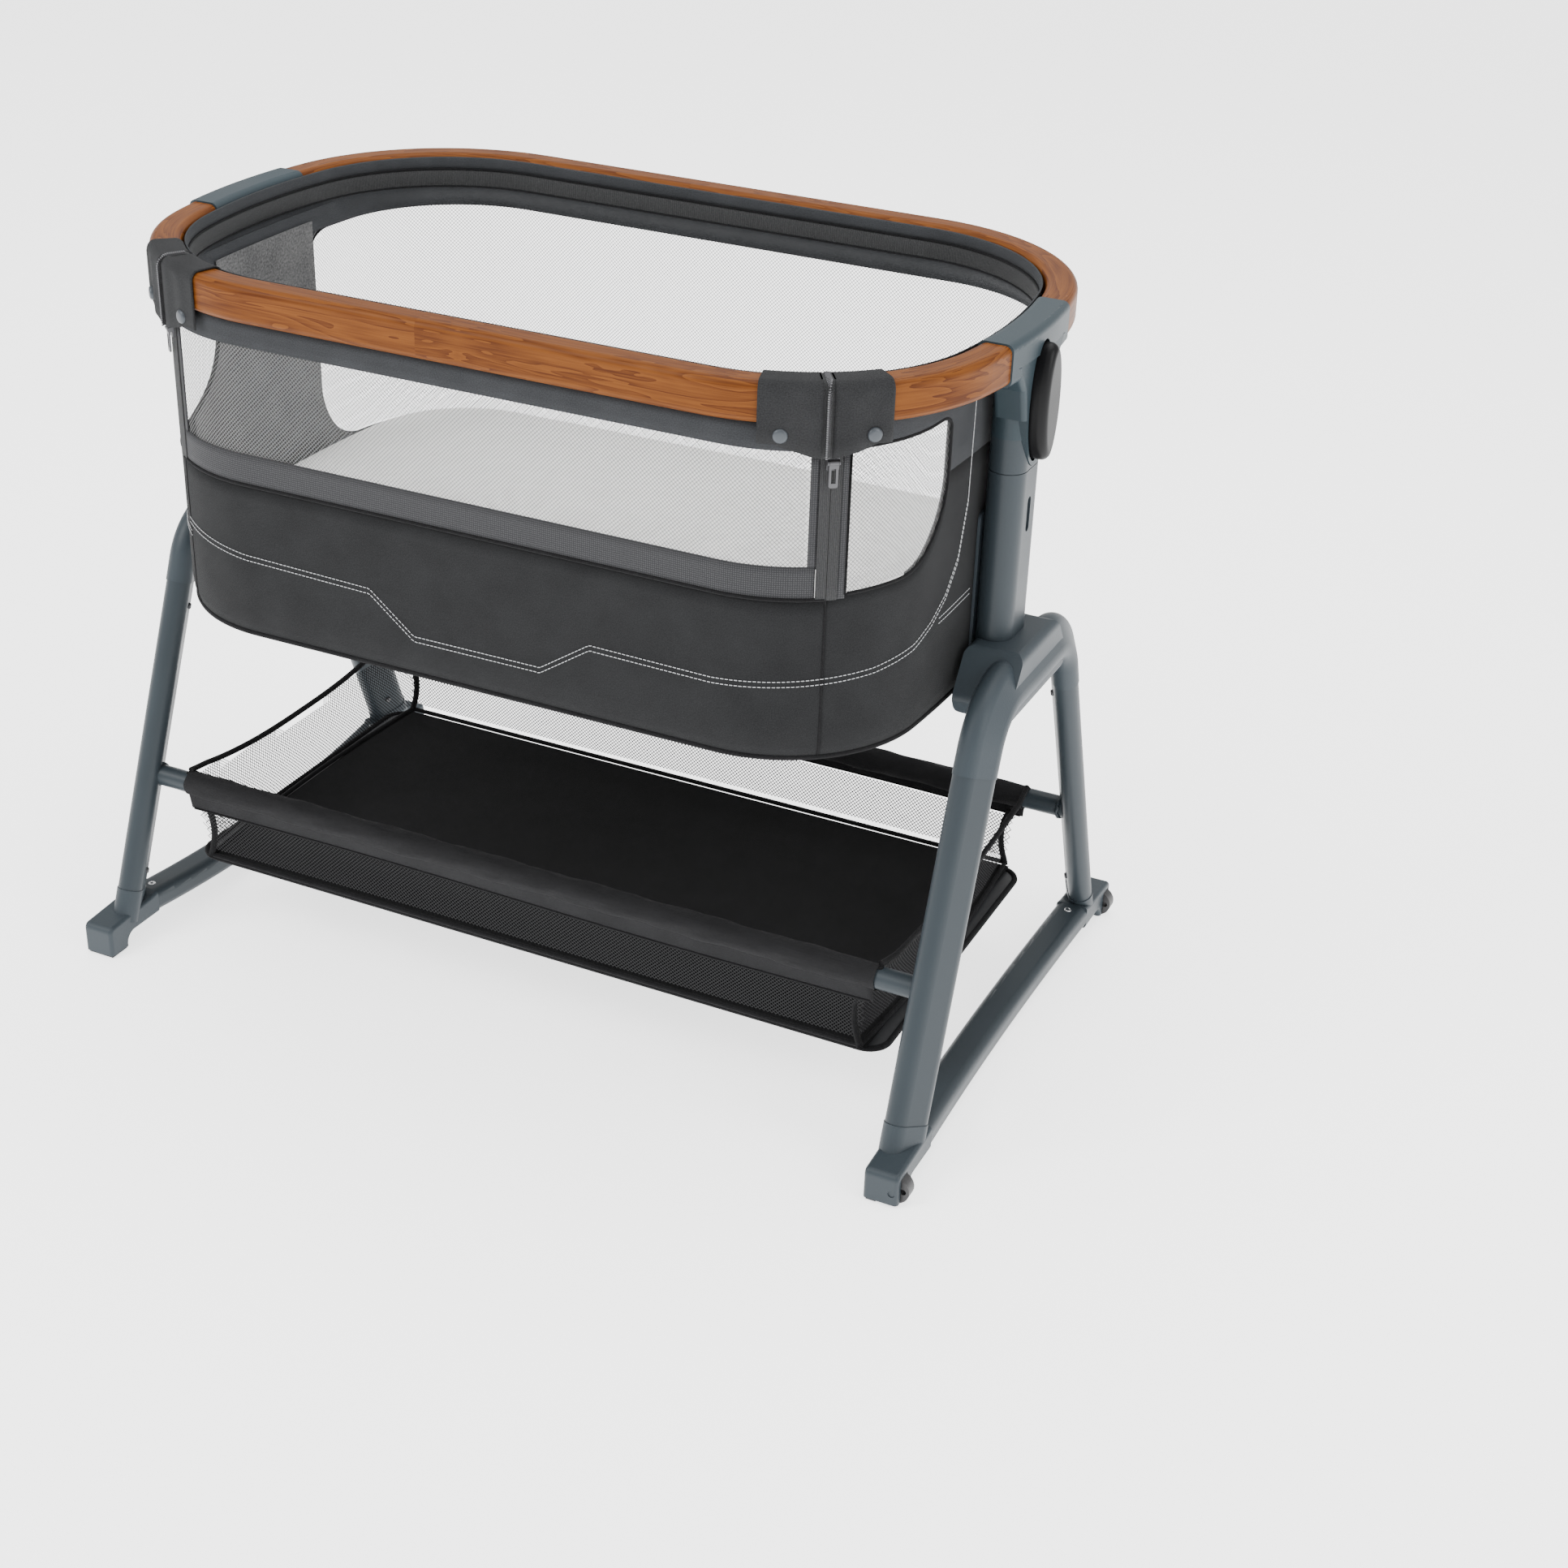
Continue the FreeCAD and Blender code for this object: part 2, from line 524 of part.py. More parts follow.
def yoke(end):
    """Yoke casting: a bent oval arm to each leg, with the socket of the post between them."""
    along = ends[end]
    low_place = leg_placement(end, "front")
    half_y, seam = size("leg_top_y"), size("leg_top_z")
    plane_x = along * size("leg_top_x")
    lean = math.atan2(size("leg_low_y") - half_y, size("leg_rise"))
    bend = size("arch_bend")
    level = size("arch_centre")
    straight = (level - seam - bend * (1 - math.sin(lean))) / math.cos(lean)
    knee_y = half_y - straight * math.sin(lean)
    knee_z = seam + straight * math.cos(lean)
    centre = Vector(plane_x, -knee_y + bend * math.cos(lean), knee_z - bend * math.sin(lean))

    def on_bend(turn):
        return Vector(plane_x, centre.y - bend * math.cos(turn), centre.z + bend * math.sin(turn))

    half_turn = (lean + math.pi / 2) / 2
    points = [Vector(plane_x, -half_y, seam), on_bend(lean), on_bend(half_turn), on_bend(math.pi / 2)]
    start, first, middle, last = points
    path = Part.Wire([
        Part.LineSegment(start, first).toShape(),
        Part.Arc(first, middle, last).toShape(),
        Part.LineSegment(last, Vector(plane_x, 0, last.z)).toShape(),
    ])
    step = 2 * size("casting_step")
    section = slot_face(size("leg_long") + step, size("leg_short") + step).OuterWire
    section.Placement = Placement(start, low_place.Rotation)
    arm = path.makePipeShell([section], True, False)
    arms = arm.fuse(arm.mirror(Vector(), Vector(0, 1, 0)))

    inner, outer = size("web_inner"), size("web_outer")
    low, top, half = size("web_low"), size("web_top"), size("web_half")
    slope = size("web_slope")
    profile = Part.makePolygon([
        Vector(inner, -half, low), Vector(inner, half, low), Vector(inner, half + slope / 2, low + slope),
        Vector(inner, half - slope, top), Vector(inner, slope - half, top),
        Vector(inner, -half - slope / 2, low + slope), Vector(inner, -half, low)])
    web = Part.Face(profile).extrude(Vector(outer - inner, 0, 0))
    web = rounded(web, size("web_edge"), level_edge)
    web = mirrored(web, along)
    casting = arms.fuse(web)
    for side in sides:
        place = leg_placement(end, side)
        tongue = spigot(leg_length() - size("spigot_length"), leg_length() + 2)
        tongue = tongue.cut(snap_cut(snap_levels()["high"], size("snap_flange") + 1))
        tongue.transformShape(place.toMatrix())
        casting = casting.fuse(tongue)
    clear = 2 * size("fit_clearance")
    socket = slot_bar(size("sleeve_long") + clear, size("sleeve_thick") + clear, size("socket_floor"), far)
    socket.Placement = upright(end)
    casting = casting.cut(socket)
    return shaped("yoke_%s" % end, casting.removeSplitter())


def upright(end):
    return Placement(Vector(ends[end] * size("post_centre"), 0, 0), Rotation(Vector(0, 0, 1), 90))


def ellipse_bar(half_y, half_z, low_x, high_x):
    """Upright elliptical plug along X, round the middle of the button recess."""
    face = Part.Face(Part.Wire(Part.Ellipse(Vector(), half_z, half_y).toShape()))
    plug = face.extrude(Vector(0, 0, high_x - low_x))
    plug.Placement = Placement(Vector(low_x, 0, size("recess_centre")),
                               Rotation(Vector(0, 0, 1), Vector(), Vector(1, 0, 0), "ZXY"))
    return plug


def plate_notch():
    """Room that the tubes leave for the lower end of the hub's recess plate."""
    clear = size("recess_rim") + size("notch_clearance")
    return ellipse_bar(size("recess_half_y") + clear, size("recess_half_z") + clear,
                       size("hub_outer") - size("recess_plate") - size("notch_clearance"), far)


def sleeve(end):
    """Outer post tube of a stand with its top collar, height window and latch holes."""
    along = ends[end]
    long_size, thick, wall = size("sleeve_long"), size("sleeve_thick"), size("sleeve_wall")
    low, seam, top = size("socket_floor"), size("sleeve_seam"), size("collar_top")
    tube = slot_bar(long_size, thick, low, top)
    groove = size("collar_groove")
    cutter = slot_bar(long_size + groove, thick + groove, seam, seam + groove)
    keep = slot_bar(long_size - 2 * groove, thick - 2 * groove, seam, seam + groove)
    tube = tube.cut(cutter.cut(keep))
    tube = tube.cut(slot_bar(long_size - 2 * wall, thick - 2 * wall, low, top))
    tube.Placement = upright("right")
    outer = size("post_centre") + thick / 2
    window = slot_bar(size("window_height"), size("window_width"), 0, 3 * wall)
    window.Placement = Placement(Vector(outer - 2 * wall, 0, size("window_centre")),
                                 Rotation(Vector(0, 0, 1), Vector(), Vector(1, 0, 0), "ZXY"))
    tube = tube.cut(window)
    tube = tube.cut(plate_notch())
    inner = size("post_centre") - thick / 2
    for step in range(int(size("height_steps")) + 1):
        height = size("latch_height") + step * size("height_step")
        hole = Part.makeCylinder(size("latch_radius") + size("latch_gap"), 4 * wall,
                                 Vector(inner - 2 * wall, 0, height), Vector(1, 0, 0))
        tube = tube.cut(hole)
    return shaped("sleeve_%s" % end, mirrored(tube, along))


def post(end):
    """Inner post of the bassinet, sliding in the sleeve."""
    along = ends[end]
    gap = size("sleeve_wall") + size("post_gap")
    long_size, thick = size("sleeve_long") - 2 * gap, size("sleeve_thick") - 2 * gap
    wall = size("post_wall")
    low, top = size("post_low"), size("collar_top")
    tube = slot_bar(long_size, thick, low, top).cut(
        slot_bar(long_size - 2 * wall, thick - 2 * wall, low, top))
    tube.Placement = upright("right")
    tube = tube.cut(plate_notch())
    inner = size("post_centre") - thick / 2
    boss = Part.makeCylinder(size("latch_radius") + size("latch_boss"), size("latch_boss_depth"),
                             Vector(inner, 0, size("latch_height")), Vector(1, 0, 0))
    tube = tube.fuse(boss)
    hole = Part.makeCylinder(size("latch_radius") + size("latch_gap"), thick,
                             Vector(inner - wall, 0, size("latch_height")), Vector(1, 0, 0))
    return shaped("post_%s" % end, mirrored(tube.cut(hole), along))


def latch(end):
    """Latch pin in the foot of an inner post, drawn back level with the post's face."""
    along = ends[end]
    tip = size("post_centre") - size("sleeve_thick") / 2 + size("sleeve_wall") + 2 * size("post_gap")
    new = doc.addObject("Part::Cylinder", "latch_%s" % end)
    new.Label = new.Name
    bind(new, Radius="Sizes.latch_radius", Height="Sizes.latch_length")
    new.Placement = Placement(Vector(along * tip, 0, size("latch_height")),
                              Rotation(Vector(0, 0, 1), Vector(along, 0, 0)))
    return new


def hub(end):
    """Hub casting: saddle round the rim, waist over the post and recess for the button."""
    along = ends[end]
    skin = size("saddle_skin")
    top = size("rim_top") + skin
    low = top - size("saddle_height")
    half = size("saddle_half")
    barrel = ring(rim_wire, low, top, -skin, size("rim_width") + skin)
    barrel = rounded(barrel, size("rim_edge"), level_edge)
    barrel = barrel.common(box((0, -half, 0), (far, half, far)))
    waist_half, outer = size("sleeve_long") / 2, size("hub_outer")
    neck = slot_bar(size("sleeve_long"), size("sleeve_thick"), size("collar_top"), size("hub_bend"))
    neck.Placement = upright("right")
    back = size("rim_half_x") - size("rim_width") - skin
    throat, shoulder = size("collar_top") + size("hub_throat"), size("hub_shoulder")
    crease = size("hub_crease")
    flare = Part.Face(Part.makePolygon([
        Vector(back, -waist_half, throat), Vector(back, waist_half, throat),
        Vector(back, size("hub_waist"), size("hub_bend")), Vector(back, shoulder, crease),
        Vector(back, -shoulder, crease), Vector(back, -size("hub_waist"), size("hub_bend")),
        Vector(back, -waist_half, throat)])).extrude(Vector(outer - back, 0, 0))
    flare = rounded(flare, size("hub_edge"), lambda edge: not level_edge(edge)
                    and edge.BoundBox.XLength < near and edge.CenterOfMass.z > throat + near)
    barrel = barrel.cut(box((outer, -shoulder, 0), (far, shoulder, crease)))
    inside = outer - size("recess_plate")
    plate = ellipse_bar(size("recess_half_y") + size("recess_rim"),
                        size("recess_half_z") + size("recess_rim"), inside, outer)
    casting = barrel.fuse([neck, flare, plate])
    recess = ellipse_bar(size("recess_half_y"), size("recess_half_z"), size("recess_floor"), far)
    floor_cut = box((0, -shoulder, 0), (inside, shoulder, size("collar_top")))
    bore = Part.makeCylinder(size("stem_radius") + size("latch_gap"), 2 * size("stem_depth"),
                             Vector(size("recess_floor") + size("stem_depth"), 0, size("recess_centre")),
                             Vector(-1, 0, 0))
    casting = casting.cut(recess).cut(floor_cut).cut(bore)
    return shaped("hub_%s" % end, mirrored(casting.removeSplitter(), along))


def release_button(end):
    """Domed release button in the recess of a hub."""
    along = ends[end]
    plug = ellipse_bar(size("button_half_y"), size("button_half_z"), size("button_inner"), size("button_outer"))
    plug = rounded(plug, size("button_edge"), lambda edge: edge.CenterOfMass.x > size("button_outer") - near)
    depth = (size("button_inner") - size("recess_floor") + size("stem_depth") - size("stem_room")
             - size("button_travel"))
    stem = Part.makeCylinder(size("stem_radius"), depth,
                             Vector(size("button_inner"), 0, size("recess_centre")), Vector(-1, 0, 0))
    return shaped("button_%s" % end, mirrored(plug.fuse(stem), along))


def rim_tube(part):
    """Part of the rim: a hollow tube of rounded section run round the bassinet."""
    top, width = size("rim_top"), size("rim_width")
    low, edge, wall = top - size("rim_height"), size("rim_edge"), size("rim_wall")
    outside = rounded(ring(rim_wire, low, top, 0, width), edge, level_edge)
    hollow = rounded(ring(rim_wire, low + wall, top - wall, wall, width - wall), edge - wall, level_edge)
    return outside.common(part).cut(hollow)


def front_zone(low_x, high_x, back):
    """Box over the front of the crib between two places along it, up to a distance before the middle."""
    return box((low_x, -far, 0), (high_x, -back, far))


def rim_back():
    """Back run of the rim, from one saddle round to the other."""
    return shaped("rim_back", rim_tube(box((-far, size("saddle_half"), 0), (far, far, far))))


def rim_corner(end):
    """Short front corner of the rim, from the zip to the saddle."""
    part = front_zone(size("zip_x") + size("zip_gap"), far, size("saddle_half"))
    return shaped("rim_corner_%s" % end, mirrored(rim_tube(part), ends[end]))


def front_rail():
    """Rim of the drop side, between the two zips."""
    reach = size("zip_x") - size("zip_gap")
    return shaped("front_rail", rim_tube(front_zone(-reach, reach, size("saddle_half"))))


def cover(end, moving):
    """Half of a zip cover wrapped round the rim; the moving half rides with the drop side."""
    along = ends[end]
    skin, gap = size("cover_skin"), size("cover_gap")
    top = size("rim_top") + skin + gap
    outside = ring(rim_wire, size("cover_low"), top, -skin - gap, size("rim_width") + skin + gap)
    outside = rounded(outside, size("rim_edge"), lambda edge: edge.CenterOfMass.z > top - near)
    hollow = ring(rim_wire, 0, size("rim_top") + gap, -gap, size("rim_width") + gap)
    hollow = rounded(hollow, size("rim_edge") - skin / 2, lambda edge: edge.CenterOfMass.z > size("rim_top"))
    shelf = Part.Face(rim_wire(size("rim_width") - skin, 0)).extrude(Vector(0, 0, size("tub_top") + gap))
    wrap = outside.cut(hollow).cut(shelf)
    if moving:
        part = front_zone(size("cover_inner_x"), size("zip_x") - size("zip_gap"), size("saddle_half"))
    else:
        part = front_zone(size("zip_x") + size("zip_gap"), size("cover_outer_x"), size("saddle_half"))
    label = "cover_%s_%s" % ("panel" if moving else "corner", end)
    return shaped(label, mirrored(wrap.common(part), along))


def tub():
    """Cloth wall of the bassinet, open over the drop side, with the band inside the rim."""
    cloth, seam = size("cloth"), size("seam_height")
    wall = ring(tub_wire, size("tub_bottom"), size("tub_top"), 0, cloth)
    band_outer = size("rim_width") + size("band_gap") + size("cover_skin") + size("cover_gap")
    band = ring(rim_wire, size("tub_top") - cloth, size("band_top"), band_outer, band_outer + cloth)
    shelf_outer = Part.Face(tub_wire(0, size("tub_top") - cloth))
    reach = Part.Face(rim_wire(band_outer, size("tub_top") - cloth))
    inner_cut = Part.Face(rim_wire(band_outer + cloth, size("tub_top") - cloth))
    shelf = shelf_outer.fuse(reach).removeSplitter().cut(inner_cut)
    shelf = shelf.extrude(Vector(0, 0, cloth))
    whole = wall.fuse([shelf, band])
    hem = ring(tub_wire, size("tub_bottom"), size("tub_bottom") + cloth, 0, cloth + size("hem_width"))
    whole = whole.fuse(hem)
    reach_x = size("zip_x") + size("zip_gap")
    opening = box((-reach_x, -far, seam), (reach_x, -size("saddle_half"), far))
    return shaped("tub", whole.cut(opening).removeSplitter())


def front_panel():
    """Net and cloth of the drop side, hinged at the seam above the skirt."""
    cloth, gap = size("cloth"), size("seam_gap")
    wall = ring(tub_wire, size("seam_height") + gap, size("rim_top") - size("rim_height"), 0, cloth)
    reach = size("zip_x") - size("zip_gap")
    return shaped("front_panel", wall.common(front_zone(-reach, reach, size("saddle_half"))))


def bed_frame():
    """Steel hoop that stiffens the bottom of the bassinet."""
    inset = size("cloth") + size("bed_gap")
    low = size("tub_bottom") + size("cloth")
    hoop = ring(tub_wire, low, low + size("frame_height"), inset, inset + size("frame_tube"))
    return shaped("bed_frame", rounded(hoop, size("frame_edge"), level_edge))


def bed_level():
    return size("tub_bottom") + size("cloth") + size("frame_height")


def bed_board():
    """Stiff board that carries the mattress, resting on the hoop."""
    inset = size("cloth") + size("bed_gap")
    return shaped("bed_board", ring(tub_wire, bed_level(), bed_level() + size("board_thick"), inset, 0))


def mattress():
    """Mattress with drawn-in sides and a low crown."""
    low = bed_level() + size("board_thick")
    height, crown, edge = size("mattress_height"), size("mattress_crown"), size("mattress_edge")
    inset = size("mattress_inset")
    steps = [(inset + edge, 0), (inset + 0.3 * edge, 0.14), (inset, 0.34), (inset + 0.1 * edge, 0.55),
             (inset + 0.4 * edge, 0.75), (inset + edge, 0.9), (inset + 2.2 * edge, 0.98)]
    wires = [tub_wire(shrink, low + height * share) for shrink, share in steps]
    for shrink, share in ((4 * edge, 0.3), (8 * edge, 0.8), (13 * edge, 1.0)):
        wires.append(tub_wire(inset + shrink, low + height + crown * share))
    return shaped("mattress", Part.makeLoft(wires, True, True))


def end_bracket(end):
    """End bracket of the bassinet: a tongue under the bed hoop and a tall plate beside the post."""
    along = ends[end]
    half, thick = size("bracket_half"), size("bracket_thick")
    outer = size("post_centre") - size("sleeve_thick") / 2 - size("post_gap")
    inner = size("tub_half_x") + size("post_gap")
    low = size("tub_bottom") - thick
    plate = box((inner, -half, low - size("bracket_drop")), (outer, half, size("bracket_top")))
    plate = rounded(plate, size("bracket_boss"), lambda edge: edge.BoundBox.XLength > near)
    tongue = box((inner - size("bracket_reach"), -half, low), (outer, half, size("tub_bottom")))
    stub = Part.makeCylinder(size("bracket_boss"), size("bracket_drop"),
                             Vector(inner - size("bracket_boss") - thick / 2, 0, low), Vector(0, 0, -1))
    return shaped("bracket_%s" % end, mirrored(plate.fuse([tongue, stub]), along))


def zip_place(end):
    """Frame on the outer face of the tub at a zip: Y points into the tub, X along its wall."""
    angle = math.radians(size("tub_end_angle"))
    radius, half_y = size("tub_end_radius"), size("tub_half_y")
    corner = (half_y - radius * math.sin(angle)) / (1 - math.sin(angle))
    corner_x = size("tub_half_x") - radius + (radius - corner) * math.cos(angle)
    corner_y = (radius - corner) * math.sin(angle)
    lean = math.asin((size("zip_x") - corner_x) / corner)
    spot = Vector(ends[end] * size("zip_x"), -corner_y - corner * math.cos(lean), size("slider_top"))
    return Placement(spot, Rotation(Vector(0, 0, 1), ends[end] * math.degrees(lean)))


def bridge_spot():
    """Distances of the slider's bridge out of the wall and below the slider's top."""
    return size("slider_thick") + size("cover_gap") + size("pull_pin") + size("lug_thick"), size("slider_height") / 2


def zip_slider(end):
    """Slider body of a side zip with the bridge that carries its pull tab."""
    gap, half, face = size("cover_gap"), size("slider_width") / 2, size("slider_thick") + size("cover_gap")
    core = box((-half, -face, -size("slider_height")), (half, -gap, 0))
    core = rounded(core, size("slider_edge"), lambda edge: abs(edge.tangentAt(edge.FirstParameter).y) > 0.9)
    out, down = bridge_spot()
    reach = size("pull_width") / 2 + size("post_gap")
    lug = size("lug_thick")
    pin = Part.makeCylinder(size("pull_pin"), 2 * (reach + lug), Vector(-reach - lug, -out, -down),
                            Vector(1, 0, 0))
    radius = size("pull_pin") + size("lug_wall")
    pieces = [pin]
    for low_x in (-reach - lug, reach):
        pieces.append(Part.makeCylinder(radius, lug, Vector(low_x, -out, -down), Vector(1, 0, 0)))
        pieces.append(box((low_x, -out, -down - radius), (low_x + lug, -face + gap, -down + radius)))
    slider = core.fuse(pieces).removeSplitter()
    slider.Placement = zip_place(end)
    return shaped("slider_%s" % end, slider)


def zip_pull(end):
    """Pull tab hanging on the bridge of its slider."""
    out, down = bridge_spot()
    half, length, thick = size("pull_width") / 2, size("pull_length"), size("pull_thick")
    eye = Part.makeCylinder(size("pull_pin") + size("pull_eye"), 2 * half, Vector(-half, -out, -down), Vector(1, 0, 0))
    tab = box((-half, -out - thick / 2, -down - length), (half, -out + thick / 2, -down))
    tab = rounded(tab, size("pull_edge"), lambda edge: abs(edge.tangentAt(edge.FirstParameter).y) > 0.9
                  and edge.CenterOfMass.z < -down - length / 2)
    bore = Part.makeCylinder(size("pull_pin") + size("pull_clearance"), 4 * half,
                             Vector(-2 * half, -out, -down), Vector(1, 0, 0))
    frame = size("pull_frame")
    window = box((-half + frame, -out - thick, size("pull_foot") - down - length),
                 (half - frame, -out + thick, -down - size("pull_head")))
    pull = tab.fuse(eye).cut(bore).cut(window)
    pull.Placement = zip_place(end)
    return shaped("pull_%s" % end, pull)


def bar_place():
    """Distance of a crossbar from the middle plane, on the axis of the legs."""
    share = (size("leg_top_z") - size("bar_height")) / size("leg_rise")
    return size("leg_top_y") + share * (size("leg_low_y") - size("leg_top_y"))


def crossbar(side):
    """Round crossbar, its ends coped to the legs of the two stands."""
    across = sides[side]
    reach = size("leg_low_x")
    start, lengthwise = Vector(-reach, across * bar_place(), size("bar_height")), Vector(1, 0, 0)
    tube = Part.makeCylinder(size("bar_radius"), 2 * reach, start, lengthwise)
    tube = tube.cut(Part.makeCylinder(size("bar_radius") - size("bar_wall"), 2 * reach, start, lengthwise))
    for end in ends:
        solid_leg = slot_bar(size("leg_long"), size("leg_short"), 0, leg_length())
        solid_leg.Placement = leg_placement(end, side)
        tube = tube.cut(solid_leg)
    middle = max(tube.Solids, key=lambda piece: piece.Volume)
    return shaped("crossbar_%s" % side, middle)


def basket():
    """Hanging cloth basket: a sleeve on each crossbar, net sides, low ends and a floor."""
    cloth, gap = size("basket_cloth"), size("basket_gap")
    half_x, half_y, end_x = size("basket_half_x"), size("basket_half_y"), size("basket_end_x")
    floor, level, place = size("basket_floor"), size("bar_height"), bar_place()
    inner, corner = size("bar_radius") + gap, size("basket_corner")
    pieces, bores = [], []
    for across in (-1, 1):
        start = Vector(-half_x, across * place, level)
        pieces.append(Part.makeCylinder(inner + cloth, 2 * half_x, start, Vector(1, 0, 0)))
        bores.append(Part.makeCylinder(inner, 2 * half_x, start, Vector(1, 0, 0)))
        wall = Part.makePolygon([
            Vector(-end_x, across * (half_y - cloth), floor), Vector(-end_x, across * half_y, floor),
            Vector(-end_x, across * (place + cloth / 2), level), Vector(-end_x, across * (place - cloth / 2), level),
            Vector(-end_x, across * (half_y - cloth), floor)])
        pieces.append(Part.Face(wall).extrude(Vector(2 * end_x, 0, 0)))
    pieces.append(box((-end_x, -half_y, floor), (end_x, half_y, floor + cloth)))
    for along in (-1, 1):
        low_x, high_x = sorted((along * end_x, along * (end_x - cloth)))
        pieces.append(box((low_x, corner - half_y, floor), (high_x, half_y - corner, size("basket_end_top"))))
    whole = pieces[0].fuse(pieces[1:])
    return shaped("basket", whole.cut(bores[0]).cut(bores[1]).removeSplitter())


def basket_board():
    """Stiff board under the cloth floor of the basket."""
    top = size("basket_floor") - size("basket_gap")
    slab = box((-size("board_half_x"), -size("board_half_y"), top - size("basket_board")),
               (size("board_half_x"), size("board_half_y"), top))
    slab = rounded(slab, size("board_corner"), lambda edge: abs(edge.tangentAt(edge.FirstParameter).z) > 0.9)
    return shaped("basket_board", slab)


built = []
for end in ends:
    for side in sides:
        built += [leg(end, side), foot(end, side), floor_pad(end, side)]
        built += [snap_button(end, side, name) for name in ("low", "high")]
    built += [rail(end), yoke(end), sleeve(end), post(end), hub(end), latch(end), release_button(end)]
    built += [end_bracket(end), rim_corner(end), cover(end, True), cover(end, False)]
    built += [zip_slider(end), zip_pull(end)]
for side in sides:
    built += [crossbar(side), wheel(side)]
built += [basket(), basket_board(), rim_back(), front_rail(), front_panel(), tub()]
built += [bed_frame(), bed_board(), mattress()]

# The wheels stand out past the right-hand feet, so the middle of the whole width lies at X = 0.
overhang = size("wheel_reach") - size("foot_centre") - size("foot_width") / 2
centred = Placement(Vector(-overhang / 2, 0, 0), Rotation())

doc.recompute()
for piece in built:
    piece.Placement = centred.multiply(piece.Placement)
doc.recompute()
for piece in built:
    shape = piece.Shape
    if "Invalid" in piece.State or "Error" in piece.State or shape.isNull():
        raise RuntimeError("%s did not build" % piece.Label)
    if not shape.isValid() or len(shape.Solids) != 1:
        raise RuntimeError("%s: valid %s, %d solids" % (piece.Label, shape.isValid(), len(shape.Solids)))
    shape.exportStep(os.path.join("parts", piece.Label + ".step"))
print("%d pieces" % len(built))
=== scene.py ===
import math

import bmesh
import bpy
import numpy as np
from mathutils import Matrix, Vector


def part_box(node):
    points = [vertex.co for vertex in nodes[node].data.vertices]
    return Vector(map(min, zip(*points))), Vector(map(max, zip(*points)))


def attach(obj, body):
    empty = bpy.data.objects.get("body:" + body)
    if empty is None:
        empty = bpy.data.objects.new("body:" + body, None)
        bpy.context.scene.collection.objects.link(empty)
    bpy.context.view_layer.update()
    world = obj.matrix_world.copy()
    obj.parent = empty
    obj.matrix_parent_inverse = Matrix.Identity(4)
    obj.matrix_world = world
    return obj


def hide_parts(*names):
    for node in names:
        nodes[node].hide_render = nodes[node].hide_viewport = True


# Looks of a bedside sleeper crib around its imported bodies. Lengths are in metres and in the
# shared frame: X along the crib, Y from the drop side to the back, Z up from the floor.
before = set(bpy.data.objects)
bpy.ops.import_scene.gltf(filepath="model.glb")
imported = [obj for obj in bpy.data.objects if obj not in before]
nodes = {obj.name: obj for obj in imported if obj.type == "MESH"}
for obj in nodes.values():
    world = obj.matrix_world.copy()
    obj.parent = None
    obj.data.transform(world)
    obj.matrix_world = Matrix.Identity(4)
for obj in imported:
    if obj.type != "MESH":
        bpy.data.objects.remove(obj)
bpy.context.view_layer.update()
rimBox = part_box("rim_back")
midX = (rimBox[0].x + rimBox[1].x) / 2
leftRight = ((-1, "left"), (1, "right"))
frontBack = ((-1, "front"), (1, "back"))


# Outlines ---------------------------------------------------------------------------------

class Outline:
    """Three-arc oval seen from above, measured along its length from the middle of the drop side."""

    def __init__(self, halfX, halfY, endRadius, endAngle):
        angle = math.radians(endAngle)
        corner = (halfY - endRadius * math.sin(angle)) / (1 - math.sin(angle))
        centreX = halfX - endRadius + (endRadius - corner) * math.cos(angle)
        centreY = (endRadius - corner) * math.sin(angle)
        quarter = [(centreX * share, -halfY, -math.pi / 2) for share in np.linspace(0, 1, 120)]
        for turn in np.linspace(-math.pi / 2, -angle, 160)[1:]:
            quarter.append((centreX + corner * math.cos(turn), -centreY + corner * math.sin(turn), turn))
        for turn in np.linspace(-angle, 0, 60)[1:]:
            quarter.append((halfX - endRadius + endRadius * math.cos(turn), endRadius * math.sin(turn), turn))
        quarter = np.array(quarter)
        flipY = quarter[::-1] * [1, -1, -1]
        half = np.vstack([quarter, flipY[1:]])
        flipX = half[::-1] * [-1, 1, 1]
        flipX[:, 2] = math.pi - flipX[:, 2]
        self.points = np.vstack([half, flipX[1:]])
        steps = np.hypot(*np.diff(self.points[:, :2], axis=0).T)
        self.along = np.concatenate([[0], np.cumsum(steps)])
        self.length = self.along[-1]
        self.normals = np.stack([np.cos(self.points[:, 2]), np.sin(self.points[:, 2])], 1)

    def at(self, u, inset=0.0):
        """Places at distances u along the outline, moved inward by inset."""
        u = np.mod(np.asarray(u, float), self.length)
        spot = [np.interp(u, self.along, self.points[:, axis]) for axis in (0, 1)]
        face = [np.interp(u, self.along, self.normals[:, axis]) for axis in (0, 1)]
        return spot[0] - face[0] * inset + midX, spot[1] - face[1] * inset

    def distance(self, x, y):
        """Distance along the outline of the point nearest to a place."""
        gaps = np.hypot(self.points[:, 0] - x, self.points[:, 1] - y)
        return self.along[int(np.argmin(gaps))]


tub = Outline(0.393, 0.262, 1.5, 5)
rim = Outline(0.434, 0.272, 0.6, 10)
skirtLow, skirtTop, windowTop, tubTop = 0.401, 0.556, 0.693, 0.715
sideWindowLow, backWindowLow = 0.560, 0.456
sideWindowRound, backWindowRound = 0.075, 0.07
zipX = 0.335
zipU = tub.distance(zipX, -0.2297)
rimZip = rim.distance(zipX, -0.2401)
stripHalf, stripTape = 0.0095, 0.0075


# Materials --------------------------------------------------------------------------------

